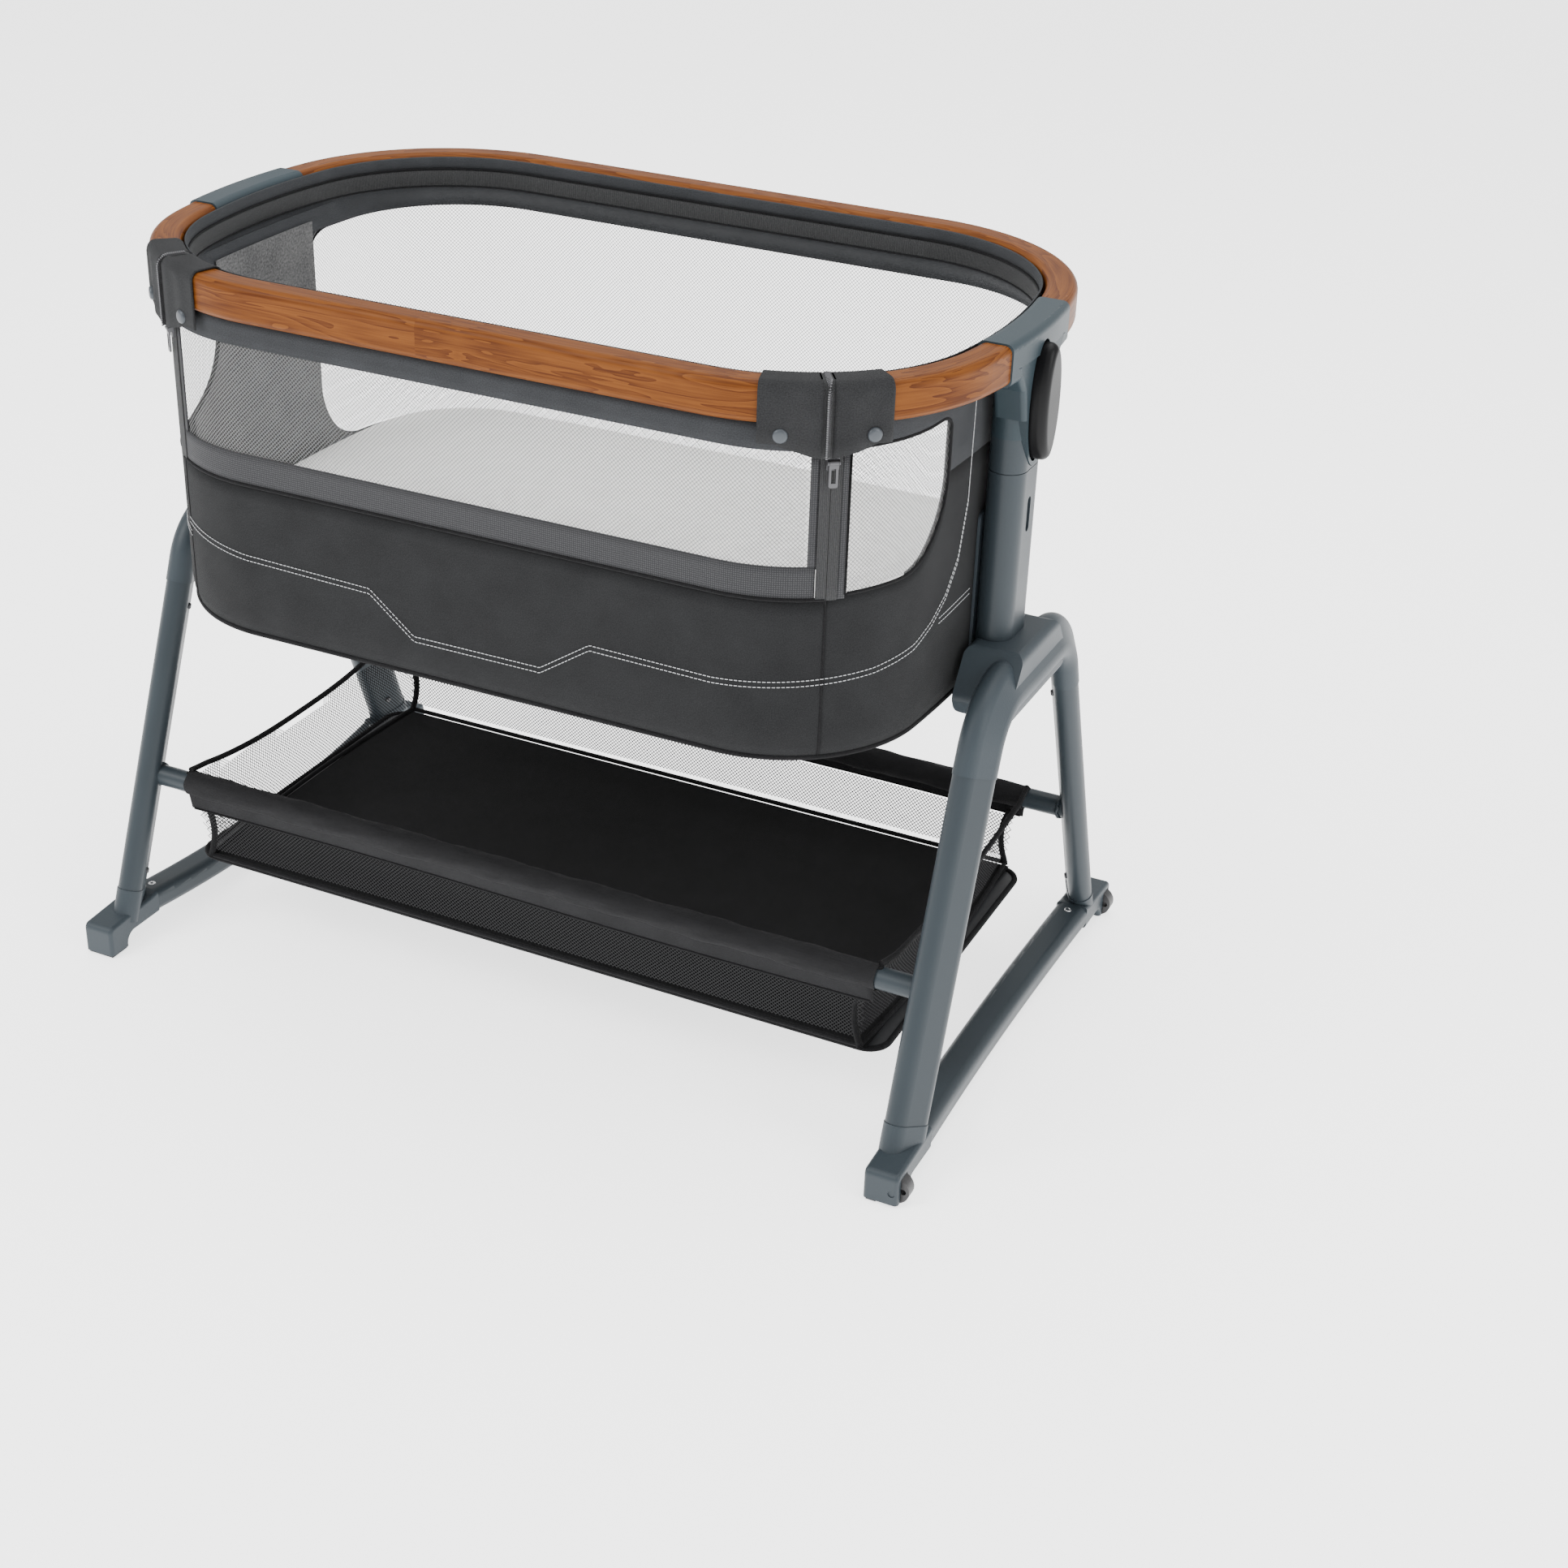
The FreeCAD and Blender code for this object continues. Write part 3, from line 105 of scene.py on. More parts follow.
def newMaterial(name):
    made = bpy.data.materials.new(name)
    made.use_nodes = True
    made.node_tree.nodes.clear()
    output = made.node_tree.nodes.new("ShaderNodeOutputMaterial")
    shader = made.node_tree.nodes.new("ShaderNodeBsdfPrincipled")
    made.node_tree.links.new(shader.outputs[0], output.inputs[0])
    return made, made.node_tree, shader


def node(tree, kind, inputs=None, **settings):
    """Adds a node; inputs may be numbers, colours or sockets, keyed by name or index."""
    made = tree.nodes.new("ShaderNode" + kind)
    for key, value in settings.items():
        setattr(made, key, value)
    for key, value in (inputs or {}).items():
        socket = made.inputs[key]
        if isinstance(value, bpy.types.NodeSocket):
            tree.links.new(value, socket)
        else:
            socket.default_value = value
    return made


def maths(tree, operation, first, second=0.0):
    return node(tree, "Math", {0: first, 1: second}, operation=operation).outputs[0]


def ramp(tree, factor, stops):
    made = node(tree, "ValToRGB", {0: factor})
    elements = made.color_ramp.elements
    while len(elements) < len(stops):
        elements.new(0.5)
    for element, (place, colour) in zip(elements, stops):
        element.position = place
        element.color = (*colour, 1)
    return made.outputs[0]


def bump(tree, shader, height, distance, strength=1.0):
    made = node(tree, "Bump", {"Height": height, "Distance": distance, "Strength": strength})
    tree.links.new(made.outputs[0], shader.inputs["Normal"])


def paint(name, colour, roughness, grain=0.00004, metallic=0.0, shine=0.5, cloudiness=0.06):
    """Sprayed or moulded finish with a fine skin and slight cloudiness."""
    made, tree, shader = newMaterial(name)
    where = node(tree, "TexCoord").outputs["Object"]
    cloud = node(tree, "TexNoise", {"Vector": where, "Scale": 9.0, "Detail": 3.0}).outputs[0]
    skin = node(tree, "TexNoise", {"Vector": where, "Scale": 900.0, "Detail": 2.0}).outputs[0]
    dark = tuple(channel * (1 - cloudiness) for channel in colour)
    light = tuple(min(1, channel * (1 + cloudiness)) for channel in colour)
    tree.links.new(ramp(tree, cloud, [(0.3, dark), (0.7, light)]), shader.inputs["Base Color"])
    rough = node(tree, "MapRange", {0: cloud, 1: 0.3, 2: 0.7, 3: roughness - 0.04, 4: roughness + 0.05})
    tree.links.new(rough.outputs[0], shader.inputs["Roughness"])
    shader.inputs["Metallic"].default_value = metallic
    shader.inputs["Specular IOR Level"].default_value = shine
    bump(tree, shader, skin, grain)
    return made


def cloth(name, dark, light, pitch=0.0011, depth=0.00022, coordinates="UV", speck=900.0):
    """Plain weave of two-tone yarn; pitch is the spacing of its threads in metres."""
    made, tree, shader = newMaterial(name)
    where = node(tree, "TexCoord").outputs[coordinates]
    x, y, z = node(tree, "SeparateXYZ", {0: where}).outputs
    turns = 2 * math.pi / pitch
    across, up = (maths(tree, "ADD", x, y), z) if coordinates == "Object" else (x, y)
    warp = maths(tree, "SINE", maths(tree, "MULTIPLY", across, turns))
    weft = maths(tree, "SINE", maths(tree, "MULTIPLY", up, turns))
    weave = maths(tree, "MULTIPLY", warp, weft)
    fleck = node(tree, "TexNoise", {"Vector": where, "Scale": speck, "Detail": 3.0}).outputs[0]
    patch = node(tree, "TexNoise", {"Vector": where, "Scale": 24.0, "Detail": 4.0}).outputs[0]
    tone = maths(tree, "ADD", maths(tree, "MULTIPLY", fleck, 0.7), maths(tree, "MULTIPLY", patch, 0.3))
    tree.links.new(ramp(tree, tone, [(0.36, dark), (0.64, light)]), shader.inputs["Base Color"])
    shader.inputs["Roughness"].default_value = 0.92
    shader.inputs["Specular IOR Level"].default_value = 0.1
    shader.inputs["Sheen Weight"].default_value = 0.03
    shader.inputs["Sheen Roughness"].default_value = 0.5
    bump(tree, shader, maths(tree, "ADD", weave, maths(tree, "MULTIPLY", fleck, 1.5)), depth, 0.7)
    return made


def spacer(name, dark, light, pitch):
    """Knitted mesh tape: rows of small round holes over a dark ground."""
    made, tree, shader = newMaterial(name)
    where = node(tree, "TexCoord").outputs["UV"]
    cells = node(tree, "TexVoronoi", {"Vector": where, "Scale": 1 / pitch, "Randomness": 0.12})
    near = cells.outputs["Distance"]
    tree.links.new(ramp(tree, near, [(0.18, light), (0.42, dark)]), shader.inputs["Base Color"])
    shader.inputs["Roughness"].default_value = 0.8
    bump(tree, shader, near, 0.0004)
    return made


def ribbed(name, dark, light, pitch):
    """Webbing with fine ribs running along the strip."""
    made, tree, shader = newMaterial(name)
    where = node(tree, "TexCoord").outputs["UV"]
    split = node(tree, "SeparateXYZ", {0: where})
    wave = maths(tree, "SINE", maths(tree, "MULTIPLY", split.outputs[0], 2 * math.pi / pitch))
    fleck = node(tree, "TexNoise", {"Vector": where, "Scale": 700.0}).outputs[0]
    tone = maths(tree, "ADD", maths(tree, "MULTIPLY", wave, 0.2), fleck)
    tree.links.new(ramp(tree, tone, [(0.3, dark), (0.75, light)]), shader.inputs["Base Color"])
    shader.inputs["Roughness"].default_value = 0.85
    bump(tree, shader, wave, 0.0003)
    return made


def woodPrint(name):
    """Wood film wrapped on the rim: its grain runs along the oval."""
    made, tree, shader = newMaterial(name)
    split = node(tree, "SeparateXYZ", {0: node(tree, "TexCoord").outputs["Object"]})
    x = maths(tree, "SUBTRACT", split.outputs[0], midX)
    y, z = split.outputs[1], split.outputs[2]
    cornerX, cornerY, cornerR = 0.225, 0.069, 0.203
    overX = maths(tree, "MAXIMUM", maths(tree, "SUBTRACT", maths(tree, "ABSOLUTE", x), cornerX), 0.0)
    overY = maths(tree, "SUBTRACT", maths(tree, "ABSOLUTE", y), cornerY)
    turn = maths(tree, "ARCTAN2", overX, overY)
    run = maths(tree, "ADD", maths(tree, "MINIMUM", maths(tree, "ABSOLUTE", x), cornerX),
                maths(tree, "MULTIPLY", turn, cornerR))
    run = maths(tree, "MULTIPLY", run, maths(tree, "SIGN", maths(tree, "ADD", x, 0.043)))
    reach = maths(tree, "SQRT", maths(tree, "ADD", maths(tree, "MULTIPLY", overX, overX),
                                      maths(tree, "MULTIPLY", overY, overY)))
    side = maths(tree, "MULTIPLY", maths(tree, "SIGN", y), 0.7)
    bar = node(tree, "CombineXYZ", {0: maths(tree, "ADD", run, side), 1: reach, 2: z}).outputs[0]
    lazy = node(tree, "Mapping", {"Vector": bar, "Scale": (5.0, 55.0, 55.0)}).outputs[0]
    drift = node(tree, "TexNoise",
                 {"Vector": lazy, "Scale": 1.0, "Detail": 2.5, "Distortion": 0.6}).outputs[0]
    rings = maths(tree, "FRACT", maths(tree, "MULTIPLY", drift, 9.0))
    fine = node(tree, "Mapping", {"Vector": bar, "Scale": (22.0, 900.0, 900.0)}).outputs[0]
    fibre = node(tree, "TexNoise", {"Vector": fine, "Scale": 1.0, "Detail": 3.0}).outputs[0]
    tone = maths(tree, "ADD", maths(tree, "MULTIPLY", rings, 0.42), maths(tree, "MULTIPLY", fibre, 0.58))
    wood = ramp(tree, tone, [(0.22, (0.062, 0.0150, 0.0026)), (0.42, (0.108, 0.0325, 0.0058)),
                             (0.75, (0.155, 0.0510, 0.0095))])
    tree.links.new(wood, shader.inputs["Base Color"])
    shader.inputs["Roughness"].default_value = 0.42
    shader.inputs["Specular IOR Level"].default_value = 0.09
    bump(tree, shader, fibre, 0.00008)
    return made


slate = paint("slatePaint", (0.024, 0.032, 0.038), 0.42, shine=0.25)
slateCast = paint("slateCasting", (0.028, 0.037, 0.044), 0.46, grain=0.00009, shine=0.25)
saddleCast = paint("saddleCasting", (0.022, 0.034, 0.041), 0.44, grain=0.00009, shine=0.22)
blackGloss = paint("blackGloss", (0.0035, 0.0035, 0.004), 0.38, shine=0.14)
rubber = paint("rubberPad", (0.022, 0.022, 0.023), 0.8, grain=0.0002)
wheelPlastic = paint("wheelPlastic", (0.018, 0.018, 0.019), 0.5)
darkPlastic = paint("darkPlastic", (0.030, 0.031, 0.033), 0.5)
gunmetal = paint("gunmetal", (0.075, 0.075, 0.080), 0.38, metallic=0.5)
zinc = paint("zincScrew", (0.62, 0.62, 0.63), 0.25, metallic=1.0)
zipMetal = paint("zipMetal", (0.16, 0.16, 0.168), 0.38, metallic=0.6)
snapMetal = paint("snapMetal", (0.045, 0.052, 0.060), 0.4, metallic=0.3)
wood = woodPrint("woodPrint")
shellCloth = cloth("shellCloth", (0.011, 0.0113, 0.012), (0.020, 0.0206, 0.0216))
coverCloth = cloth("coverCloth", (0.014, 0.0143, 0.0152), (0.029, 0.0297, 0.031), pitch=0.0013)
bandCloth = cloth("bandCloth", (0.024, 0.0255, 0.0275), (0.042, 0.044, 0.048))
heather = cloth("heatherLining", (0.052, 0.052, 0.054), (0.13, 0.13, 0.13), speck=420.0)
basketCloth = cloth("basketCloth", (0.011, 0.011, 0.0118), (0.022, 0.022, 0.0235))
floorCloth = cloth("basketFloorCloth", (0.006, 0.006, 0.0064), (0.012, 0.012, 0.0128))
binding = cloth("binding", (0.005, 0.005, 0.0055), (0.013, 0.013, 0.014), pitch=0.0008,
                coordinates="Object")
sheetCloth = cloth("sheetCloth", (0.84, 0.835, 0.82), (0.93, 0.925, 0.91), pitch=0.0007,
                   depth=0.00008, coordinates="Object", speck=300.0)
webbing = ribbed("ribbedWebbing", (0.010, 0.0105, 0.0115), (0.030, 0.031, 0.032), 0.0016)
meshTape = spacer("meshTape", (0.008, 0.0085, 0.0105), (0.040, 0.040, 0.043), 0.0020)
netThread = paint("netThread", (0.17, 0.17, 0.17), 0.9, shine=0.1)
darkThread = paint("darkThread", (0.016, 0.016, 0.017), 0.8, shine=0.15)
stitchThread = paint("stitchThread", (0.48, 0.49, 0.50), 0.6)

cadLooks = {
    slate: ["leg_", "rail_", "sleeve_", "crossbar_"],
    slateCast: ["foot_", "yoke_", "bracket_"],
    saddleCast: ["hub_"],
    wood: ["rim_", "front_rail"],
    blackGloss: ["button_"],
    rubber: ["pad_"],
    wheelPlastic: ["wheel_"],
    gunmetal: ["snap_", "slider_", "pull_", "latch_", "post_", "bed_frame"],
    darkPlastic: ["bed_board", "basket_board"],
}
for look, starts in cadLooks.items():
    for label, thing in nodes.items():
        if any(label.startswith(start) for start in starts):
            thing.data.materials.clear()
            thing.data.materials.append(look)
print("materials ready")


# Mesh helpers -----------------------------------------------------------------------------

def meshObject(name, vertices, faces, look, body, uv=None, smooth=True):
    data = bpy.data.meshes.new(name)
    data.from_pydata([tuple(map(float, vertex)) for vertex in vertices], [],
                     [tuple(map(int, face)) for face in faces])
    data.update()
    if uv is not None:
        layer = data.uv_layers.new(name="UVMap")
        index = np.zeros(len(data.loops), int)
        data.loops.foreach_get("vertex_index", index)
        layer.data.foreach_set("uv", np.asarray(uv, float)[index].ravel())
    data.polygons.foreach_set("use_smooth", [smooth] * len(data.polygons))
    data.materials.append(look)
    made = bpy.data.objects.new(name, data)
    bpy.context.scene.collection.objects.link(made)
    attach(made, body)
    return made


def gridFaces(rows, count):
    """Quads over a grid of points stored row by row."""
    return [(row * count + column, row * count + column + 1, (row + 1) * count + column + 1,
             (row + 1) * count + column) for row in range(rows - 1) for column in range(count - 1)]


def gridSheet(name, outline, u, rows, look, body, thickness=0.0012):
    """Cloth over an outline: each row is (inset, height), both numbers or one value per place."""
    u = np.asarray(u, float)
    vertices = []
    for inset, height in rows:
        inset = np.broadcast_to(inset, u.shape)
        height = np.broadcast_to(height, u.shape)
        x, y = outline.at(u, inset)
        vertices.append(np.stack([x, y, height], 1))
    grid = np.stack(vertices)
    climb = np.concatenate([[np.zeros(len(u))],
                            np.cumsum(np.linalg.norm(np.diff(grid, axis=0), axis=2), axis=0)])
    uv = np.stack([np.broadcast_to(u, climb.shape), climb + grid[0, :, 2]], 2).reshape(-1, 2)
    count = len(u)
    faces = []
    for row in range(len(rows) - 1):
        for column in range(count - 1):
            if abs(climb[row + 1][column] - climb[row][column]) + abs(
                    climb[row + 1][column + 1] - climb[row][column + 1]) < 1e-6:
                continue
            first = row * count + column
            faces.append((first, first + 1, first + count + 1, first + count))
    made = meshObject(name, grid.reshape(-1, 3), faces, look, body, uv)
    if thickness:
        solid = made.modifiers.new("thickness", "SOLIDIFY")
        solid.thickness = thickness
        solid.offset = -1
    return made


def tube(name, points, radius, look, body, closed=False, sides=8):
    """Round cord or binding through a list of points."""
    points = np.asarray(points, float)
    ahead = np.roll(points, -1, 0) - np.roll(points, 1, 0)
    if not closed:
        ahead[0] = points[1] - points[0]
        ahead[-1] = points[-1] - points[-2]
    ahead /= np.linalg.norm(ahead, axis=1)[:, None]
    vertices = []
    for spot, way in zip(points, ahead):
        helper = np.array([0, 0, 1.0]) if abs(way[2]) < 0.9 else np.array([1.0, 0, 0])
        side = np.cross(way, helper)
        side /= np.linalg.norm(side)
        over = np.cross(side, way)
        for turn in np.linspace(0, 2 * math.pi, sides, endpoint=False):
            vertices.append(spot + radius * (side * math.cos(turn) + over * math.sin(turn)))
    count = len(points)
    faces = []
    for ring in range(count if closed else count - 1):
        after = (ring + 1) % count
        for step in range(sides):
            near = (step + 1) % sides
            faces.append((ring * sides + step, ring * sides + near,
                          after * sides + near, after * sides + step))
    if not closed:
        faces.append(tuple(range(sides)))
        faces.append(tuple(reversed(range((count - 1) * sides, count * sides))))
    return meshObject(name, vertices, faces, look, body)


def netMesh(name, place, uSpan, zSpan, inside, look, body, pitch=0.0028, width=0.0005):
    """Window net: two families of thin ribbons at 45 degrees, cut to the window."""
    step, diagonal = 0.008, pitch * math.sqrt(2)
    rise = zSpan[1] - zSpan[0]
    vertices, faces = [], []
    half = width / 2 / math.sqrt(2)
    for lean in (1, -1):
        starts = np.arange(uSpan[0] - rise, uSpan[1] + rise, diagonal)
        steps = np.arange(0, rise + step, step)
        z = zSpan[0] + steps[None, :] + 0 * starts[:, None]
        u = starts[:, None] + lean * steps[None, :]
        keep = inside(u, z)
        pair = keep[:, :-1] & keep[:, 1:]
        rows, columns = np.nonzero(pair)
        for offset in (0, 1):
            for sign in (1, -1):
                spotU = u[rows, columns + offset] + sign * half
                spotZ = z[rows, columns + offset] - sign * lean * half
                vertices.append(np.stack(place(spotU, spotZ), 1))
    quads = len(vertices) // 4
    base = 0
    for group in range(quads):
        count = len(vertices[4 * group])
        index = np.arange(count)
        faces.append(np.stack([base + index, base + count + index, base + 3 * count + index,
                               base + 2 * count + index], 1))
        base += 4 * count
    return meshObject(name, np.vstack(vertices), np.vstack(faces), look, body, smooth=False)


def spread(first, last, step=0.004):
    return np.linspace(first, last, max(2, int(abs(last - first) / step) + 1))


# Window shape of the tub ------------------------------------------------------------------

total = tub.length
uFrontEdge = tub.distance(0.3915, -0.097)
uBackEdge = tub.distance(0.3920, 0.066)


def rounding(reach, radius):
    """Rise of a rounded window corner, as a share, at a distance from the window's edge."""
    share = np.clip(1 - reach / radius, 0, 1)
    return 1 - np.sqrt(1 - share ** 2)


def windowEdges(u):
    """Lower and upper edge of the window at each place; they meet where there's no window."""
    u = np.mod(np.asarray(u, float), total)
    u = np.minimum(u, total - u)
    low = np.full(u.shape, 0.64)
    top = np.full(u.shape, 0.64)
    front = (u >= zipU) & (u <= uFrontEdge)
    reach = uFrontEdge - u
    corner = sideWindowRound * rounding(reach, sideWindowRound)
    low = np.where(front, sideWindowLow + 0.006 * (u - zipU) / 0.15 + corner, low)
    top = np.where(front, windowTop - 0.012 * rounding(reach, 0.02), top)
    back = u >= uBackEdge
    reach = u - uBackEdge
    low = np.where(back, backWindowLow + 0.075 * rounding(reach, backWindowRound), low)
    top = np.where(back, windowTop - 0.02 * rounding(reach, 0.03), top)
    return low, top


def hem(height):
    """Inset of the tub's face at a height: it tumbles in a little towards the bottom."""
    return 0.005 * np.clip((0.425 - height) / 0.025, 0, 1) ** 2


def skirtColumns(first, last):
    """Places along the skirt, closer together at the window's upright edges."""
    u = list(spread(first, last, 0.004))
    for edge in (uFrontEdge, uBackEdge, total - uFrontEdge, total - uBackEdge):
        u += [edge - 0.0004, edge + 0.0004] + list(edge + np.array([-8, -5, -2, 2, 5, 8]) * 0.001)
    return np.array(sorted(value for value in u if first <= value <= last))


# Skirt and window frame of the bassinet
uAll = skirtColumns(zipU, total - zipU)
lowEdge, topEdge = windowEdges(uAll)
lowerRows = []
for share in np.linspace(0, 1, 14):
    height = skirtLow + (lowEdge - skirtLow) * share
    lowerRows.append((hem(height), height))
skirtSides = gridSheet("skirtSides", tub, uAll, lowerRows, shellCloth, "bassinet")
upperRows = [(0.0, topEdge + (tubTop - topEdge) * share) for share in np.linspace(0, 1, 5)]
gridSheet("skirtUpper", tub, uAll, upperRows, bandCloth, "bassinet")
uFront = spread(-zipU, zipU)
frontRows = [(hem(height), height) for height in np.linspace(skirtLow, skirtTop, 12)]
skirtFront = gridSheet("skirtFront", tub, uFront, frontRows, shellCloth, "bassinet")
print("skirt built")

# Linings of the two ends, seen through the windows
endU = tub.distance(0.393, 0.0)
liningFront, liningBack, liningLow, liningTop = 0.16, 0.14, 0.452, 0.705
for end, first, last in (("right", endU - liningFront, endU + liningBack),
                         ("left", total - endU - liningBack, total - endU + liningFront)):
    uEnd = skirtColumns(first, last)
    lowEdge, topEdge = windowEdges(uEnd)
    solid = topEdge <= lowEdge + 0.001
    ceiling = np.where(solid, liningTop, lowEdge)
    rows = [(0.0042, liningLow + (ceiling - liningLow) * share) for share in np.linspace(0, 1, 14)]
    gridSheet("endLining_" + end, tub, uEnd, rows, heather, "bassinet")
rows = [(0.0042, height) for height in np.linspace(0.44, 0.456, 3)]
gridSheet("lowerLining", tub, spread(0, total), rows, shellCloth, "bassinet")

# Bindings round the window edges
for label, first, last in (("right", zipU + 0.017, uFrontEdge), ("back", uBackEdge, total - uBackEdge),
                           ("left", total - uFrontEdge, total - zipU - 0.017)):
    edge = spread(first + 0.0003, last - 0.0003, 0.003)
    low, top = windowEdges(edge)
    outU = np.concatenate([edge, edge[::-1]])
    outZ = np.concatenate([low, top[::-1]])
    x, y = tub.at(outU, 0.0006)
    tube("windowBinding_" + label, np.stack([x, y, outZ], 1), 0.0016, binding, "bassinet",
         closed=True, sides=6)

# Piping under the skirt and the closed hem below it
u = spread(0, total)[:-1]
x, y = tub.at(u, 0.0045)
tube("bottomPiping", np.stack([x, y, np.full(len(u), 0.4035)], 1), 0.0028, binding, "bassinet", closed=True)
gridSheet("bottomHem", tub, spread(0, total), [(0.0055, 0.4012), (0.013, 0.4004), (0.10, 0.4002)],
          shellCloth, "bassinet", thickness=0)

# Upper band inside the rim: smooth lip, ribbed webbing, then cloth down to the window
lip = 0.0335


def innerBand(prefix, u, body):
    """Lip, webbing and slope that follow the rim and then ease over to the tub."""
    rimU = u * rim.length / total
    gridSheet(prefix + "Lip", rim, rimU, [(lip - 0.0005, 0.7495), (lip + 0.001, 0.7485),
                    (lip + 0.0016, 0.742), (lip + 0.0006, 0.7365)], bandCloth, body, thickness=0.001)
    gridSheet(prefix + "Webbing", rim, rimU, [(lip + 0.0004, 0.7365), (lip + 0.0022, 0.7352),
                    (lip + 0.0026, 0.728), (lip + 0.0022, 0.7205), (lip + 0.0004, 0.719)], webbing, body,
                    thickness=0.001)
    places = []
    for share in np.linspace(0, 1, 9):
        ease = share * share * (3 - 2 * share)
        rimSpot, tubSpot = rim.at(rimU, lip + 0.001), tub.at(u, 0.0035)
        x = rimSpot[0] * (1 - ease) + tubSpot[0] * ease
        y = rimSpot[1] * (1 - ease) + tubSpot[1] * ease
        places.append(np.stack([x, y, np.full(len(u), 0.7195 - 0.0265 * share)], 1))
    grid = np.array(places)
    uv = np.stack([np.broadcast_to(u, grid.shape[:2]), grid[:, :, 2]], 2).reshape(-1, 2)
    meshObject(prefix + "Slope", grid.reshape(-1, 3), gridFaces(*grid.shape[:2]), bandCloth, body, uv)
    for level in (0.7185, 0.7372):
        x, y = rim.at(rimU, lip + 0.0016)
        tube(prefix + "Seam_%d" % (level * 10000), np.stack([x, y, np.full(len(u), level)], 1), 0.0007,
             binding, body, sides=5)


innerBand("bandBack", spread(zipU + 0.001, total - zipU - 0.001), "bassinet")
innerBand("bandFront", spread(-zipU + 0.001, zipU - 0.001), "drop_side")
print("bands built")

# Drop side: mesh tape over the seam, net window, and the band under the rail
edgeU = zipU - stripHalf - stripTape
panelU = spread(-zipU + 0.001, zipU - 0.001)
tapeU = spread(-zipU + stripHalf + 0.0005, zipU - stripHalf - 0.0005)
gridSheet("panelTape", tub, tapeU, [(-0.0006, z) for z in np.linspace(0.5595, 0.588, 5)], meshTape,
          "drop_side", thickness=0.0015)
gridSheet("panelBand", tub, panelU, [(0.0, z) for z in np.linspace(windowTop - 0.001, 0.7155, 4)], bandCloth,
          "drop_side", thickness=0.0015)
stripLow, tapeHigh = 0.557, 0.695
stripRows = [(-0.0016, z) for z in np.linspace(stripLow, 0.703, 12)]
for sign, end in leftRight:
    tape = sorted((sign * edgeU, sign * (zipU - stripHalf)))
    gridSheet("panelSideTape_" + end, tub, spread(*tape, 0.002),
              [(-0.0004, z) for z in np.linspace(0.586, tapeHigh, 8)], meshTape, "drop_side")
    half = sorted((sign * (zipU - stripHalf), sign * (zipU - 0.0002)))
    gridSheet("zipStripPanel_" + end, tub, spread(*half, 0.001), stripRows, webbing, "drop_side")
    half = sorted((sign * (zipU + 0.0002), sign * (zipU + stripHalf)))
    gridSheet("zipStripCorner_" + end, tub, spread(*half, 0.001), stripRows, webbing, "bassinet")
    backing = sorted((sign * (zipU - 0.004), sign * (zipU + 0.004)))
    gridSheet("zipBacking_" + end, tub, spread(*backing, 0.002),
              [(0.0012, z) for z in np.linspace(stripLow, 0.700, 12)], binding, "bassinet")
    tape = sorted((sign * (zipU + stripHalf), sign * (zipU + stripHalf + stripTape)))
    gridSheet("cornerSideTape_" + end, tub, spread(*tape, 0.002),
              [(-0.0004, z) for z in np.linspace(stripLow, tapeHigh, 8)], meshTape, "bassinet")
    seamZ = np.linspace(0.404, 0.556, 30)
    x, y = tub.at(np.full(30, sign * zipU), 0.0 + hem(seamZ))
    tube("skirtSeam_" + end, np.stack([x, y, seamZ], 1), 0.0008, binding, "bassinet", sides=6)
x, y = tub.at(panelU, -0.0004)
tube("panelSeam", np.stack([x, y, np.full(len(panelU), 0.5577)], 1), 0.0018, binding, "bassinet", sides=6)


def onTub(inset):
    return lambda u, z: (*tub.at(u, inset), z)


def inWindow(u, z):
    low, top = windowEdges(u)
    return (z > low - 0.004) & (z < top + 0.004) & (top > low + 0.001)


netMesh("netBack", onTub(0.0012), (uBackEdge, total - uBackEdge), (0.452, 0.70),
        lambda u, z: inWindow(u, z) & (u > uBackEdge - 0.004) & (u < total - uBackEdge + 0.004),
        netThread, "bassinet")
netMesh("netRight", onTub(0.0012), (zipU, uFrontEdge), (0.55, 0.70),
        lambda u, z: inWindow(u, z) & (u > zipU + 0.012) & (u < uFrontEdge + 0.004), netThread, "bassinet")
netMesh("netLeft", onTub(0.0012), (total - uFrontEdge, total - zipU), (0.55, 0.70),
        lambda u, z: inWindow(u, z) & (u < total - zipU - 0.012) & (u > total - uFrontEdge - 0.004),
        netThread, "bassinet")
netMesh("netFront", onTub(0.0012), (-edgeU, edgeU), (0.584, 0.697),
        lambda u, z: (abs(u) < edgeU + 0.003) & (z > 0.583) & (z < 0.697), netThread, "drop_side")
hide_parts("tub")
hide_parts("front_panel")
print("nets built")

# Zip covers: cloth folded over the rim, lower where the zip runs
skin = 0.0026


def coverRows(low, skin=skin):
    width = 0.030
    path = [(-skin, low), (-skin, low + (0.745 - low) * 0.25), (-skin, low + (0.745 - low) * 0.5),
            (-skin, low + (0.745 - low) * 0.75), (-skin, 0.745)]
    for turn in np.linspace(0, math.pi / 2, 6)[1:]:
        path.append((-skin + 0.0085 * (1 - math.cos(turn)), 0.745 + 0.0095 * math.sin(turn)))
    for turn in np.linspace(math.pi / 2, 0, 6):
        path.append((width + skin - 0.0085 * (1 - math.cos(turn)), 0.745 + 0.0095 * math.sin(turn)))
    path.append((width + skin, 0.716))
    return path


